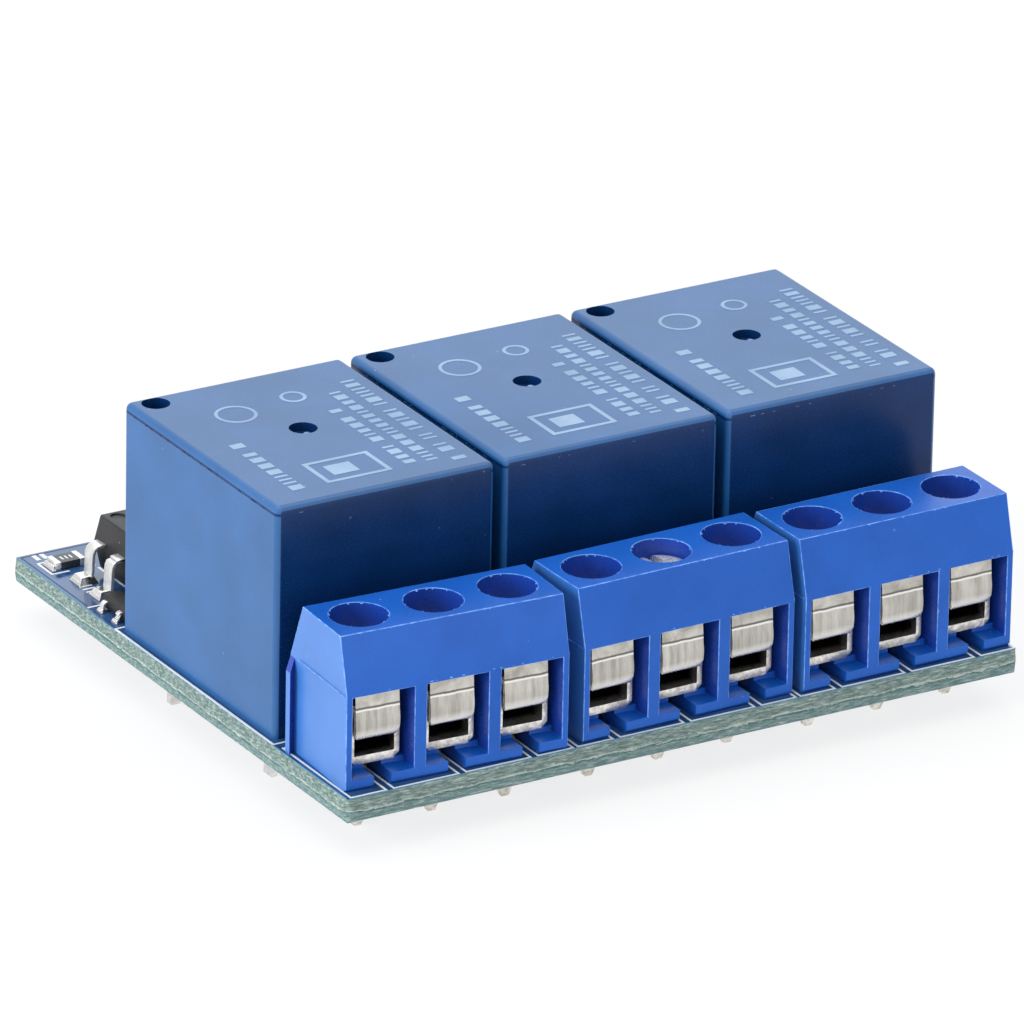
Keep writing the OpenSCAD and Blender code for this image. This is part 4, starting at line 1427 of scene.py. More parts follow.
@dataclass
class Relay(SubAssembly):
    """A sealed relay: its cover with the print, and its works.

    Attributes:
        number: The channel, from 1.
        size: The relay's sizes.
    """

    number: int
    size: RelaySize = RelaySize()

    def __post_init__(self) -> None:
        """Looks up where the relay stands."""
        self.place = LAYOUT.relay(self.number - 1)

    def build(self) -> None:
        """Builds the relay's pieces."""
        self._cover()
        self._flash()
        self._print()
        self._works()

    def _cover(self) -> None:
        """Models the cover: rounded box, seam, vent hole, gate dimple, hollow, with painted shade
        on its front and back faces, bores and seam.
        """
        size, bench, place = self.size, self.bench, self.place
        half, top = size.width / 2, size.height - size.print_t
        piece = bench.start(f"relay_cover_{self.number}")
        bench.box(place, (-half, 0, 0), (half, size.depth, top))
        bench.close(piece)
        editing = bench.edit(piece)
        bpy.ops.mesh.select_mode(type="EDGE")
        upright = place.along(0, 0, 1).normalized()
        for edge in editing.edges:
            run = (edge.verts[1].co - edge.verts[0].co).normalized()
            edge.select_set(abs(run.dot(upright)) > 0.99)
        bmesh.update_edit_mesh(piece.data)
        bpy.ops.mesh.bevel(offset=size.corner * MM, segments=5, affect="EDGES")
        mark("DESELECT")
        editing = bmesh.from_edit_mesh(piece.data)
        ceiling = place.point(0, 0, top).z
        for edge in editing.edges:
            edge.select_set(all(abs(v.co.z - ceiling) < NEAR for v in edge.verts))
        bmesh.update_edit_mesh(piece.data)
        bpy.ops.mesh.bevel(offset=size.shoulder * MM, segments=4, affect="EDGES",
                           clamp_overlap=True)
        low = size.height - size.seam_down
        for height in (low, low + size.seam_cut):
            mark()
            bpy.ops.mesh.bisect(plane_co=place.point(0, 0, height), plane_no=(0, 0, 1))
        bpy.ops.mesh.select_mode(type="FACE")
        mark("DESELECT")
        editing = bmesh.from_edit_mesh(piece.data)
        floor, roof = (place.point(0, 0, z).z for z in (low, low + size.seam_cut))
        for face in editing.faces:
            face.select_set(all(floor - 1e-7 < v.co.z < roof + 1e-7 for v in face.verts))
        bmesh.update_edit_mesh(piece.data)
        bpy.ops.mesh.extrude_region_shrink_fatten(
            TRANSFORM_OT_shrink_fatten={"value": -size.seam_cut * MM})
        bench.close(piece)
        inner = bench.boxes("hollow", place, [((-half + size.wall, size.wall, -1),
                                               (half - size.wall, size.depth - size.wall,
                                                size.height - 1.0))])
        bench.cut(piece, inner)
        holes = bench.start("holes")
        bench.rod(place, (-half + size.vent_x, size.depth - size.vent_back, size.height - 2),
                  size.vent, 3, sides=40)
        bench.rod(place, (0, size.depth - size.gate_back, top - size.gate_depth),
                  size.vent, 3, sides=40)
        bench.close(holes)
        bench.cut(piece, holes)
        # The edges left sharp, chiefly the hole rims, are rounded into slot 1: the painted edge
        # highlight.
        bench.soften(piece, 0.05, 2, 60.0, 1)
        piece.data.materials.append(None)
        along = place.along(0, 1, 0).normalized()
        hubs = (place.point(-half + size.vent_x, size.depth - size.vent_back, 0),
                place.point(0, size.depth - size.gate_back, 0))
        # Painted shade: the front and back faces, the hole bores and the seam groove take the
        # darker copy in slot 2.
        for face in piece.data.polygons:
            bored = any((face.center - hub).xy.length < (size.vent - 0.01) * MM
                        or abs((face.center - hub).xy.length - size.vent * MM) < 0.02 * MM
                        and abs(face.normal.z) < 0.2 for hub in hubs)
            seam = floor + 1e-7 < face.center.z < roof - 1e-7
            if bored or seam or abs(face.normal.dot(along)) > 0.95:
                face.material_index = 2
        bench.dress(piece, [self.finishes.relay, self.finishes.relay_edge_highlight,
                            self.finishes.relay_shaded], "board", "relay_plastic",
                    [f"relay_case_{self.number}"])

    def _flash(self) -> None:
        """Adds the gate's stub and the seam's specks of flash, coloured pale as a painted
        highlight.
        """
        size, bench, place = self.size, self.bench, self.place
        chance = random.Random(40 + self.number)
        half, seam = size.width / 2, size.height - size.seam_down + size.seam_cut / 2
        piece = bench.start(f"relay_flash_{self.number}")
        bench.rod(place, (0, size.depth - size.gate_back - 0.45,
                          size.height - size.print_t - size.gate_depth - 0.05),
                  0.26, 0.42, sides=12, tip=0.2)
        for _ in range(26):
            length = chance.uniform(0.08, 0.30)
            along = chance.uniform(0.6, size.depth - 0.9)
            if chance.random() < 0.8:
                spot = ((-half - 0.0, along), (-half + 0.05, along + length))
            else:
                across = (along / size.depth - 0.5) * (size.width - 1.4)
                spot = ((across, 0.0), (across + length, 0.05))
            bench.box(place, (*spot[0], seam - 0.02), (*spot[1], seam + 0.03))
        bench.close(piece)
        bench.smooth(piece)
        bench.dress(piece, [self.finishes.relay_flash_highlight], "board", "relay_plastic")

    def _print(self) -> None:
        """Prints rows of plain bars, a plain frame and two rings on the cover's top."""
        size, bench, place = self.size, self.bench, self.place
        chance = random.Random(7)
        low, high = size.height - size.print_t - 0.01, size.height
        piece = bench.start(f"relay_print_{self.number}")
        # rows run from front to back; each has its place across the cover
        for across, tall, start, stop in ((6.1, 0.95, 1.5, 15.4), (4.5, 0.8, 2.2, 14.2),
                                          (3.1, 0.8, 2.4, 11.6), (-5.0, 0.9, 2.0, 9.5)):
            y = start
            while y < stop:
                length = chance.choice((0.22, 0.22, 0.5, 0.7))
                bench.box(place, (across - tall / 2, y, low),
                          (across + tall / 2, y + length, high))
                y += length + (0.34 if chance.random() < 0.8 else 0.95)
        for near, far, left, right in ((2.0, 2.3, -3.0, 1.6), (5.0, 5.3, -3.0, 1.6),
                                       (2.3, 5.0, -3.0, -2.7), (2.3, 5.0, 1.3, 1.6),
                                       (2.9, 4.4, -2.0, -0.2)):
            bench.box(place, (left, near, low), (right, far, high))
        for across, y, radius in ((-2.6, 14.1, 1.35), (1.9, 14.9, 0.85)):
            bench.ring(place, (across, y, low), radius, radius - 0.22, high - low, 36)
        bench.close(piece)
        bench.dress(piece, [self.finishes.relay_print], "board", "relay_plastic")

    def _works(self) -> None:
        """Gives the works inside the cover their materials."""
        looks = {"base": self.finishes.base, "bobbin": self.finishes.bobbin,
                 "winding": self.finishes.winding, "core": self.finishes.iron,
                 "yoke": self.finishes.iron, "armature": self.finishes.iron,
                 "moving_contact": self.finishes.bronze, "terminals": self.finishes.tin}
        for part, material in looks.items():
            repaint(f"relay_{part}_{self.number}", material)


def repaint(node: str, material: Material) -> None:
    """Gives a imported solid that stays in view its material."""
    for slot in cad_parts[node].material_slots:
        slot.material = material


# ---- driver parts


@dataclass(frozen=True)
class Package:
    """A moulded package with leads, one for each channel.

    Attributes:
        name: Start of its pieces' names.
        node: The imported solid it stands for.
        leads_name: Name of the piece of leads.
        x: Its axis, from the middle of its channel.
        y: Its axis, from the front edge.
        body: Length along X, along Y and in height of its moulding.
        lift: Air under it.
        draft: Draft of its sides.
        rounding: Rounding of the moulding.
        path: Middle line of a lead, from the moulding's side and the board.
        sheet: Thickness of a lead.
        spots: Side and Y of each lead.
        half_lead: Half the width of a lead.
        lead_rounding: Width and steps of a lead's rounding.
        split: Whether the leads' faces are split before they are rounded.
        foot: Near and far end of a foot's solder, from the moulding's side,
            half its width, its height and how far its top is drawn in.
    """

    name: str
    node: str
    leads_name: str
    x: float
    y: float
    body: Spot
    lift: float
    draft: float
    rounding: float
    path: Outline
    sheet: float
    spots: Outline
    half_lead: float
    lead_rounding: tuple[float, int]
    split: bool
    foot: tuple[float, float, float, float, float]


ROW_Y = 31.1
OPTO = Package(
    "opto", "optocouplers", "opto_leads", -1.7, 35.5, (6.5, 4.6, 3.6), 0.4, 0.3, 0.12,
    ((-0.15, 2.32), (0.25, 2.32), (0.5, 2.27), (0.68, 2.12), (0.78, 1.9), (0.82, 1.52),
     (0.85, 0.7), (0.9, 0.38), (1.02, 0.2), (1.25, 0.13), (1.85, 0.13)),
    0.24, tuple((side, y) for side in SIDES for y in (-1.27, 1.27)), 0.5, (0.05, 2), True,
    (0.5, 1.95, 0.72, 0.5, 0.28))
TRANSISTOR = Package(
    "transistor", "transistors", "transistor_leads", -6.55, ROW_Y, (1.3, 2.9, 0.95), 0.1,
    0.1, 0.05,
    ((-0.1, 0.64), (0.12, 0.62), (0.22, 0.5), (0.27, 0.22), (0.34, 0.1), (0.55, 0.08)),
    0.14, ((-1, -0.95), (-1, 0.95), (1, 0.0)), 0.21, (0.03, 1), True,
    (0.14, 0.55, 0.36, 0.26, 0.1))
DIODE = Package(
    "diode", "diodes", "diode_straps", 1.2, ROW_Y, (4.3, 2.6, 2.1), 0.1, 0.2, 0.08,
    ((-0.1, 1.1), (0.14, 1.07), (0.2, 0.93), (0.2, 0.2), (0.12, 0.08), (-0.5, 0.08)),
    0.14, ((-1, 0.0), (1, 0.0)), 0.75, (0.03, 1), False, (-0.2, 0.45, 0.9, 0.4, 0.15))


@dataclass(frozen=True)
class DriverSize:
    """Sizes of the chip parts behind the relays.

    Attributes:
        dot: Radius and depth of the optocouplers' dot, and its place from the
            corner of the moulding.
        band: Near and far end of a diode's band, and its inset at the ends.
        resistor_x: Base resistor, from the middle of its channel.
        chip_y: Row of the chip parts, from the front edge.
        chip: Length, width and height of a chip part.
        chips: Chip resistors, from the middle of the first channel.
        leds: Chip lamps, from the middle of the first channel.
    """

    dot: tuple[float, float, float, float] = (0.5, 0.1, 1.15, 1.1)
    band: Spot = (0.5, 1.0, 0.24)
    resistor_x: float = -3.2
    chip_y: float = 39.6
    chip: Spot = (2.1, 1.25, 0.55)
    chips: tuple[float, ...] = (-5.9, 3.6, 25.5, 33.1)
    leds: tuple[float, ...] = (-1.7, 7.3, 29.3, 36.8)


@dataclass
class DriverParts(SubAssembly):
    """The optocouplers, transistors, diodes and chip parts with their solder.

    Attributes:
        size: The parts' sizes.
    """

    size: DriverSize = DriverSize()

    def __post_init__(self) -> None:
        """Starts the list of solder pieces."""
        self.solder: list[Piece] = []

    def build(self) -> None:
        """Builds every small part."""
        self._package(OPTO)
        self._package(TRANSISTOR)
        self._package(DIODE)
        self._chips()
        solder = self.bench.join("driver_solder", self.solder)
        self.bench.soften(solder, 0.12, 3, 20.0)
        self.bench.dress(solder, [self.finishes.solder], "board", "solder")

    def _foot(self, place: Place, low: Spot, high: Spot, draw: float) -> None:
        """Adds the solder that has crept up a foot.

        Args:
            place: Where the foot stands.
            low: Lowest corner of the solder.
            high: Highest corner of the solder.
            draw: How far its top is drawn in.
        """
        piece = self.bench.start("solder_foot")
        self.bench.taper(place, low, high, 0, draw)
        self.solder.append(self.bench.close(piece))

    def _package(self, part: Package) -> None:
        """Builds the drafted mouldings and the bent leads of one kind of part.

        Args:
            part: The kind of part.
        """
        bench, (long, wide, tall) = self.bench, part.body
        places = [LAYOUT.channel(i).moved(part.x, part.y) for i in CHANNELS]
        path = [(long / 2 + x, z) for x, z in part.path]
        near, far, half, height, draw = part.foot
        leads, bodies = bench.start(part.leads_name), []
        if part is DIODE:
            bench.edit(leads)
        for place in places:
            for side, y in part.spots:
                bench.prism(place, [(side * x, z) for x, z in ribbon(path, part.sheet)], Axis.Y,
                            y - part.half_lead, y + part.half_lead)
        bench.close(leads)
        if part is DIODE:
            self._bands(places)
        for index, place in enumerate(places):
            body = bench.drafted(f"{part.name}_{index}", place, (-long / 2, -wide / 2, part.lift),
                                 (long / 2, wide / 2, part.lift + tall), part.draft)
            bench.soften(body, part.rounding, 2, 30.0)
            if part is OPTO:
                self._dot(body, place)
            bodies.append(body)
            for side, y in part.spots:
                left, right = sorted((side * (long / 2 + near), side * (long / 2 + far)))
                self._foot(place, (left, y - half, 0.0), (right, y + half, height), draw)
        body = bench.join(f"{part.name}_bodies", bodies)
        if part is OPTO:
            bench.smooth(body)
        bench.dress(body, [self.finishes.epoxy], "board", "black_epoxy", [part.node])
        if part.split:
            bench.modify(leads, "TRIANGULATE")
        bench.soften(leads, *part.lead_rounding, 50.0)
        bench.dress(leads, [self.finishes.lead], "board", "black_epoxy")

    def _dot(self, body: Piece, place: Place) -> None:
        """Sinks the dot that marks an optocoupler's first lead.

        Args:
            body: The moulding.
            place: Where it stands.
        """
        long, wide, tall = OPTO.body
        radius, deep, x, y = self.size.dot
        dot = self.bench.start("dot")
        self.bench.rod(place, (-long / 2 + x, wide / 2 - y, OPTO.lift + tall - deep), radius, 1)
        self.bench.close(dot)
        self.bench.cut(body, dot)

    def _bands(self, places: Sequence[Place]) -> None:
        """Prints the bands that mark the diodes' cathodes.

        Args:
            places: Where the diodes stand.
        """
        long, wide, tall = DIODE.body
        near, far, inset = self.size.band
        bands = self.bench.start("diode_bands")
        for place in places:
            self.bench.box(place, (-long / 2 + near, -wide / 2 + inset, tall + 0.05),
                           (-long / 2 + far, wide / 2 - inset, tall + 0.11))
        self.bench.close(bands)
        self.bench.dress(bands, [self.finishes.board_print], "board", "black_epoxy")

    def _chips(self) -> None:
        """Builds the chip resistors and the chip lamps."""
        bench, size = self.bench, self.size
        long, wide, tall = size.chip
        first = LAYOUT.channel(0)
        row = [first.moved(x, size.chip_y) for x in size.chips]
        bases = [LAYOUT.channel(i).moved(size.resistor_x, ROW_Y) for i in CHANNELS]
        turned = [Place(q.x, q.y, 90.0) for q in bases]
        lamps = [first.moved(x, size.chip_y) for x in size.leds]
        parts = {"chip_ceramics": (row + turned, self.finishes.ceramic, "chip_ceramic",
                                   "resistors"),
                 "led_bodies": (lamps, self.finishes.led, "led_resin", "leds")}
        for name, (places, finish, slot, node) in parts.items():
            piece = bench.start(name)
            for place in places:
                bench.box(place, (-long / 2 + 0.05, -wide / 2, 0.04),
                          (long / 2 - 0.05, wide / 2, tall - 0.03))
            bench.close(piece)
            bench.soften(piece, 0.03, 1, 40.0)
            bench.dress(piece, [finish], "board", slot, [node])
        domes = bench.start("led_domes")
        for place in lamps:
            arc = [(0.66 * math.cos(a), tall - 0.1 + 0.36 * math.sin(a))
                   for a in (math.pi * k / 10 for k in range(11))]
            bench.prism(place, arc, Axis.Y, -wide / 2 + 0.05, wide / 2 - 0.05)
        bench.close(domes)
        bench.modify(domes, "TRIANGULATE")
        bench.soften(domes, 0.05, 2, 60.0)
        bench.dress(domes, [self.finishes.led], "board", "led_resin")
        marks = bench.start("chip_marks")
        for place in row + turned:
            for k in (-0.32, 0.0, 0.32):
                bench.box(place, (k - 0.05, -0.24, tall - 0.04), (k + 0.05, 0.24, tall - 0.015))
        bench.close(marks)
        bench.dress(marks, [self.finishes.board_print], "board", "chip_ceramic")
        caps = bench.start("chip_caps")
        for place in row + turned + lamps:
            for side in SIDES:
                left, right = sorted((side * (long / 2 - 0.38), side * long / 2))
                bench.box(place, (left, -wide / 2 - 0.02, 0.02), (right, wide / 2 + 0.02, tall))
        bench.close(caps)
        bench.soften(caps, 0.05, 2, 50.0)
        bench.dress(caps, [self.finishes.lead], "board", "chip_ceramic")
        for place in row + turned + lamps:
            for side in SIDES:
                left, right = sorted((side * (long / 2 - 0.1), side * (long / 2 + 0.32)))
                self._foot(place, (left, -wide / 2 - 0.08, 0.0), (right, wide / 2 + 0.08, 0.38),
                           0.14)


# ---- circuit board


@dataclass(frozen=True)
class HeaderSize:
    """Sizes of the pin header.

    Attributes:
        pins: Number of pins.
        pitch: Distance between two pins.
        x: Middle of the row, from the left edge.
        y: The row, from the front edge.
        pin: Side of a pin.
        top: Top of the pins above the board.
        tail: Length of the tails under the board.
    """

    pins: int = 5
    pitch: float = 2.54
    x: float = 24.15
    y: float = 40.6
    pin: float = 0.64
    top: float = 8.4
    tail: float = 1.4


@dataclass(frozen=True)
class PrintSize:
    """Sizes of the outlines printed on the board.

    Attributes:
        block: Left, right, front and back of a terminal block's outline, from
            the middle of its channel and the front edge.
        slot: Half the gap between the outlines of two feet, and its back end.
        relay: Left, right, front and back of a relay's outline.
        opto: Half the width and half the length of an optocoupler's outline.
        opto_bar: Ends of an optocoupler's name bars, from its axis.
        transistor: Ends and Y of a transistor's line, from its axis.
        chip: Half the length and half the width of a chip's outline, and where
            its long sides stop.
        head: Front and back of the header's outline, from its row.
        border: The edge of the copper fill, from the board's edge.
    """

    block: tuple[float, float, float, float] = (-7.82, 7.82, 0.3, 8.6)
    slot: tuple[float, float] = (0.27, 4.2)
    relay: tuple[float, float, float, float] = (-8.05, 7.75, 9.37, 29.3)
    opto: tuple[float, float] = (2.6, 2.7)
    opto_bar: tuple[float, float] = (-5.1, -4.4)
    transistor: Spot = (-1.35, 1.2, 1.9)
    chip: Spot = (1.5, 0.95, 0.35)
    head: tuple[float, float] = (-1.5, 1.45)
    border: float = 0.42


@dataclass
class CircuitBoard(SubAssembly):
    """The laminate with its print, tracks, solder joints and pin header.

    Attributes:
        header: The pin header's sizes.
        print: Sizes of the printed outlines.
        corner: The board's front-left corner.
        line: Width of a printed line.
        lines_laid: How many lines were laid so far.
    """

    header: HeaderSize = HeaderSize()
    print: PrintSize = PrintSize()
    corner: Place = Place()
    line: float = 0.15
    lines_laid: int = 0

    def build(self) -> None:
        """Builds the board's pieces."""
        repaint("pcb", self.finishes.laminate)
        self._outlines()
        self._border()
        self._tracks()
        self._joints()
        self._header()

    def _line(self, start: tuple[float, float], stop: tuple[float, float],
              width: float | None = None, low: float = -0.01, high: float = 0.012) -> None:
        """Prints one straight line along X or Y, never level with one that it crosses.

        Args:
            start: One end, from the board's front-left corner.
            stop: The other end.
            width: Width of the line, or None for the usual one.
            low: Its underside above the board.
            high: Its top above the board.
        """
        half = (width or self.line) / 2
        self.lines_laid += 1
        step = 0.001 * (self.lines_laid % 13)
        self.bench.box(self.corner,
                       (min(start[0], stop[0]) - half, min(start[1], stop[1]) - half, low - step),
                       (max(start[0], stop[0]) + half, max(start[1], stop[1]) + half,
                        high + step))

    def _outlines(self) -> None:
        """Prints the outlines of the parts, and bars where names would stand."""
        block, driver, inked = BlockSize(), DriverSize(), self.print
        piece = self.bench.start("board_outlines")
        for index in CHANNELS:
            middle = LAYOUT.first_x + index * LAYOUT.pitch
            left, right, front, back = inked.block
            gap, gap_end = inked.slot
            left, right = middle + left, middle + right
            for x in (left, right):
                self._line((x, front), (x, back))
            self._line((left, back), (right, back))
            edges = [left, *(middle + p * block.pitch + s for p in POLES for s in (-gap, gap)),
                     right]
            for start, stop in zip(edges[::2], edges[1::2]):
                self._line((start, front), (stop, front))
            for x in edges[1:-1]:
                self._line((x, front), (x, gap_end))
            left, right, front, back = inked.relay
            left, right = middle + left, middle + right
            self._line((left, front), (left, back))
            self._line((left, front), (right, front))
            self._line((left, back), (right, back))
            opto, (half, reach) = middle + OPTO.x, inked.opto
            for x in (opto - half, opto + half):
                self._line((x, OPTO.y - reach), (x, OPTO.y + reach))
            for k in range(3):
                y = OPTO.y - 0.35 + 0.45 * k
                self._line((opto + inked.opto_bar[0], y), (opto + inked.opto_bar[1], y))
            side, (near, far, y) = middle + TRANSISTOR.x, inked.transistor
            self._line((side + near, ROW_Y + y), (side + far, ROW_Y + y))
        half, wide, arm = inked.chip
        for x in (*driver.chips, *driver.leds):
            at, row = LAYOUT.first_x + x, driver.chip_y
            for y in (row - wide, row + wide):
                self._line((at - half, y), (at - arm, y))
            for end in (at - half, at + half):
                self._line((end, row - wide), (end, row + wide))
            for k in range(2):
                bar = at - 1.15 + 0.55 * k
                self._line((bar, row + 1.55), (bar, row + 2.05), 0.3)
        head = self.header
        half = head.pins * head.pitch / 2 + 0.2
        front, back = (head.y + y for y in inked.head)
        for y in (front, back):
            self._line((head.x - half, y), (head.x + half, y))
        for x in (head.x - half, head.x + half):
            self._line((x, front), (x, back))
        self.bench.close(piece)
        self.bench.dress(piece, [self.finishes.board_print], "board", "laminate")

    def _border(self) -> None:
        """Draws the edge of the copper fill just inside the board's edge."""
        piece = self.bench.start("fill_border")
        low, right, back = (self.print.border, BOARD.width - self.print.border,
                            BOARD.depth - self.print.border)
        for y in (low, back):
            self._line((low, y), (right, y), 0.09, high=0.004)
        for x in (low, right):
            self._line((x, low), (x, back), 0.09, high=0.004)
        self.bench.close(piece)
        vias = self.bench.start("vias")
        chance = random.Random(3)
        for _ in range(26):
            spot = (chance.uniform(1.2, 47), chance.uniform(37.6, 38.4), -0.01)
            self.bench.rod(self.corner, spot, 0.16, 0.02, sides=12)
        self.bench.rod(self.corner, (1.15, 38.2, -0.01), 0.2, 0.02, sides=12)
        self.bench.close(vias)
        piece = self.bench.join("fill_border", [piece, vias])
        self.bench.dress(piece, [self.finishes.mask_line], "board", "laminate")

    def _tracks(self) -> None:
        """Lays the wide tracks from the terminals to the relays, underneath."""
        low, high = -BOARD.thickness - 0.03, -BOARD.thickness + 0.02
        piece = self.bench.start("under_tracks")
        for index in CHANNELS:
            middle = LAYOUT.first_x + index * LAYOUT.pitch
            relay = LAYOUT.relay_front
            for side in SIDES:
                near, far = middle + side * 5.1, middle + side * 6.0
                self._line((near, 4.1), (near, relay + 3.4), 2.6, low, high)
                self._line((far, relay + 2.4), (far, relay + 4.6), 2.4, low, high)
            self._line((middle, 4.1), (middle, relay + 17.6), 2.6, low, high)
            self._line((middle + 6.0, relay + 15.6), (middle + 6.0, 33.4), 0.6, low, high)
            self._line((middle - 6.0, relay + 15.6), (middle - 6.0, 30.2), 0.6, low, high)
            self._line((middle + 3.4, 34.2), (middle + 3.4, 39.6), 0.5, low, high)
            self._line((middle + 3.4, 34.2), (middle - 1.0, 34.2), 0.5, low, high)
        self._line((5.0, 38.6), (44.0, 38.6), 0.9, low, high)
        self._line((3.0, 36.9), (46.0, 36.9), 0.9, low, high)
        self.bench.close(piece)
        self.bench.soften(piece, 0.02, 1, 40.0)
        self.bench.dress(piece, [self.finishes.track], "board", "laminate")

    def _pins(self) -> list[tuple[Place, float]]:
        """Lists every pin with the side of its section.

        Returns:
            Place and side of each pin.
        """
        pins, block, relay = [], BlockSize(), RelaySize()
        for index in CHANNELS:
            pins += [(LAYOUT.block(index).moved(p * block.pitch, block.screw_y), block.tail)
                     for p in POLES]
            pins += [(LAYOUT.relay(index).moved(x, y), relay.tail) for x, y in relay.pins]
        head = self.header
        pins += [(Place(head.x + (k - (head.pins - 1) / 2) * head.pitch, head.y), head.pin)
                 for k in range(head.pins)]
        return pins

    def _joints(self) -> None:
        """Builds the solder cones under the board, with a hollow flank."""
        piece = self.bench.start("solder_cones")
        for place, side in self._pins():
            radius = (math.sqrt(2) * side + 0.4) / 2 + 0.26
            rings = [(0.0, radius), (0.05, radius * 0.96), (0.16, radius * 0.80),
                     (0.34, radius * 0.66), (0.62, radius * 0.56), (0.9, side * 0.66),
                     (1.06, side * 0.45)]
            for (near, wide), (far, narrow) in zip(rings, rings[1:]):
                self.bench.rod(place, (0, 0, -BOARD.thickness - far), narrow, far - near,
                               sides=24, tip=wide)
        self.bench.weld()
        self.bench.close(piece)
        self.bench.smooth(piece, 60.0)
        self.bench.dress(piece, [self.finishes.solder], "board", "solder", ["solder_joints"])

    def _header(self) -> None:
        """Builds the pin header: notched moulding and pointed pins."""
        body = self.bench.cast("header_body", "header_moulding")
        self.bench.soften(body, 0.05, 2, 30.0)
        self.bench.dress(body, [self.finishes.header], "board", "header_plastic", ["header_body"])
        head = self.header
        pins = self.bench.start("header_pin_row")
        half = head.pin / 2
        for k in range(head.pins):
            place = Place(head.x + (k - (head.pins - 1) / 2) * head.pitch, head.y)
            tail = -BOARD.thickness - head.tail
            self.bench.taper(place, (-half, -half, tail), (half, half, tail + 0.3), 0.14, 0)
            self.bench.box(place, (-half, -half, tail + 0.3), (half, half, head.top - 0.4))
            self.bench.taper(place, (-half, -half, head.top - 0.4), (half, half, head.top),
                             0, 0.18)
        self.bench.close(pins)
        self.bench.soften(pins, 0.03, 1, 60.0)
        self.bench.dress(pins, [self.finishes.gold], "board", "gold_pins", ["header_pins"])


# ---- studio


@dataclass(frozen=True)
class CameraSetup:
    """Where the camera stands and how it looks.

    Attributes:
        spot: Its place, in metres.
        azimuth: Its bearing, in degrees.
        elevation: Its height angle, in degrees.
        roll: Its roll, in degrees.
        lens: Focal length, in millimetres on a 36 mm sensor.
    """

    spot: Spot = (-0.38180, -0.63539, 0.32646)
    azimuth: float = -30.99
    elevation: float = 23.11
    roll: float = 1.12
    lens: float = 453.83


@dataclass(frozen=True)
class Softbox:
    """A square lamp that looks at the module.

    Attributes:
        name: The lamp's name.
        spot: Its place, in metres.
        side: Its side, in metres.
        power: Its power, in watts.
        colour: Colour of its light.
        mirrored: Whether smooth surfaces mirror it.
    """

    name: str
    spot: Spot
    side: float
    power: float
    colour: Colour = (1.0, 1.0, 1.0)
    mirrored: bool = True


LAMPS = (Softbox("top_softbox", (-0.05, 0.05, 0.62), 0.85, 3.2),
         Softbox("left_softbox", (-0.62, 0.02, 0.20), 0.42, 4.2, mirrored=False),
         Softbox("back_softbox", (0.28, 0.50, 0.26), 0.42, 0.4, (0.72, 0.88, 1.0)),
         Softbox("front_softbox", (0.05, -0.66, 0.16), 0.40, 1.0))


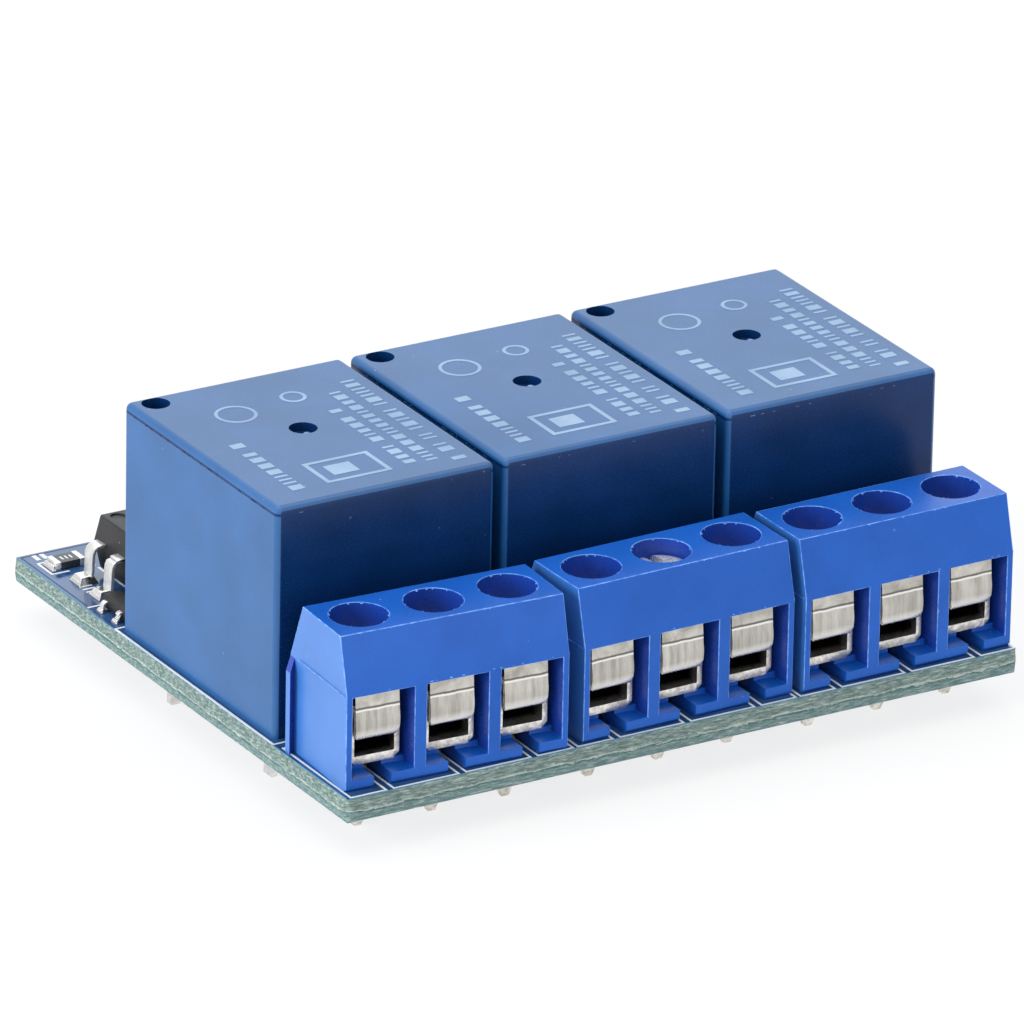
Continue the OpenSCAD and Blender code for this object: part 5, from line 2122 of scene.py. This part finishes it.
@dataclass
class Studio:
    """Floor, surroundings, lamps and camera.

    Attributes:
        bench: The bench to build on.
        camera: The camera's settings.
        lamps: The lamps.
    """

    bench: Bench
    camera: CameraSetup = CameraSetup()
    lamps: tuple[Softbox, ...] = LAMPS

    def build(self) -> None:
        """Builds the studio."""
        self._surroundings()
        self._floor()
        for lamp in self.lamps:
            self._lamp(lamp)
        self._camera()
        bpy.context.scene.view_settings.view_transform = "Standard"

    @staticmethod
    def _seen(sheet: NodeSheet) -> Socket:
        """Marks the rays that look straight at, or reflect, the background.

        Args:
            sheet: The material's or world's sheet.

        Returns:
            A mask of those rays.
        """
        path = sheet.add("LightPath")
        seen = sheet.math("MAXIMUM", path.outputs["Is Camera Ray"],
                          path.outputs["Is Glossy Ray"])
        return sheet.math("MAXIMUM", seen, path.outputs["Is Transmission Ray"])

    @staticmethod
    def _mix(sheet: NodeSheet, output: str, factor: Socket, under: Node, over: Node) -> None:
        """Mixes two shaders into an output.

        Args:
            sheet: The material's or world's sheet.
            output: The output node's type.
            factor: How much of the upper shader shows.
            under: The lower shader.
            over: The upper shader.
        """
        mixed = sheet.add("MixShader")
        for source, target in zip((factor, under.outputs[0], over.outputs[0]), mixed.inputs):
            sheet.join(source, target)
        sheet.join(mixed.outputs[0], sheet.add(output).inputs["Surface"])

    def _surroundings(self) -> None:
        """Surrounds the module with soft even light and a white background."""
        world = bpy.data.worlds.new("studio_surroundings")
        bpy.context.scene.world = world
        world.use_nodes = True
        world.node_tree.nodes.clear()
        sheet = NodeSheet(world.node_tree)
        self._mix(sheet, "OutputWorld", self._seen(sheet),
                  sheet.add("Background", Color=(0.97, 0.985, 1.0, 1.0), Strength=0.52),
                  sheet.add("Background", Color=(1.0, 1.0, 1.0, 1.0), Strength=1.0))

    def _floor(self) -> None:
        """Lays a plain pale floor that keeps a soft shadow."""
        self.bench.clear()
        bpy.ops.mesh.primitive_plane_add(size=6.0, location=(0, 0, 0))
        floor = bpy.context.object
        floor.name = "studio_floor"
        material = bpy.data.materials.new("pale_floor")
        material.use_nodes = True
        material.node_tree.nodes.clear()
        sheet = NodeSheet(material.node_tree)
        self._mix(sheet, "OutputMaterial", sheet.math("MULTIPLY", self._seen(sheet), 0.8),
                  sheet.add("BsdfDiffuse", Color=(0.86, 0.87, 0.88, 1.0)),
                  sheet.add("Emission", Color=(1.0, 1.0, 1.0, 1.0), Strength=1.0))
        floor.data.materials.append(material)

    def _lamp(self, softbox: Softbox) -> None:
        """Hangs one softbox.

        Args:
            softbox: Its settings.
        """
        self.bench.clear()
        bpy.ops.object.light_add(type="AREA", location=softbox.spot)
        lamp = bpy.context.object
        lamp.name = softbox.name
        lamp.rotation_euler = Vector(softbox.spot).to_track_quat("Z", "Y").to_euler()
        lamp.data.shape = "SQUARE"
        lamp.data.size = softbox.side
        lamp.data.energy = softbox.power
        lamp.data.color = softbox.colour
        lamp.visible_glossy = softbox.mirrored

    def _camera(self) -> None:
        """Sets up the camera."""
        setup = self.camera
        turn, rise, roll = (math.radians(a) for a in (setup.azimuth, setup.elevation, setup.roll))
        back = Vector((math.sin(turn) * math.cos(rise), -math.cos(turn) * math.cos(rise),
                       math.sin(rise)))
        level = Vector((math.cos(turn), math.sin(turn), 0))
        right = math.cos(roll) * level + math.sin(roll) * back.cross(level)
        up = back.cross(right)
        self.bench.clear()
        bpy.ops.object.camera_add(location=setup.spot)
        camera = bpy.context.object
        camera.name = "studio_camera"
        camera.rotation_euler = Matrix((right, up, back)).transposed().to_euler()
        camera.data.sensor_width = 36.0
        camera.data.lens = setup.lens
        camera.data.clip_start = 0.01
        bpy.context.scene.camera = camera


def main() -> None:
    """Builds the module and the studio around it."""
    logging.basicConfig(level=logging.INFO, format="%(name)s: %(message)s")
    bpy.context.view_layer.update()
    bench = Bench()
    finishes = Finishes()
    for number in (1, 2, 3):
        TerminalBlock(bench, finishes, number).build()
        Relay(bench, finishes, number).build()
    CircuitBoard(bench, finishes).build()
    DriverParts(bench, finishes).build()
    Studio(bench).build()


if __name__ == "__main__":
    main()
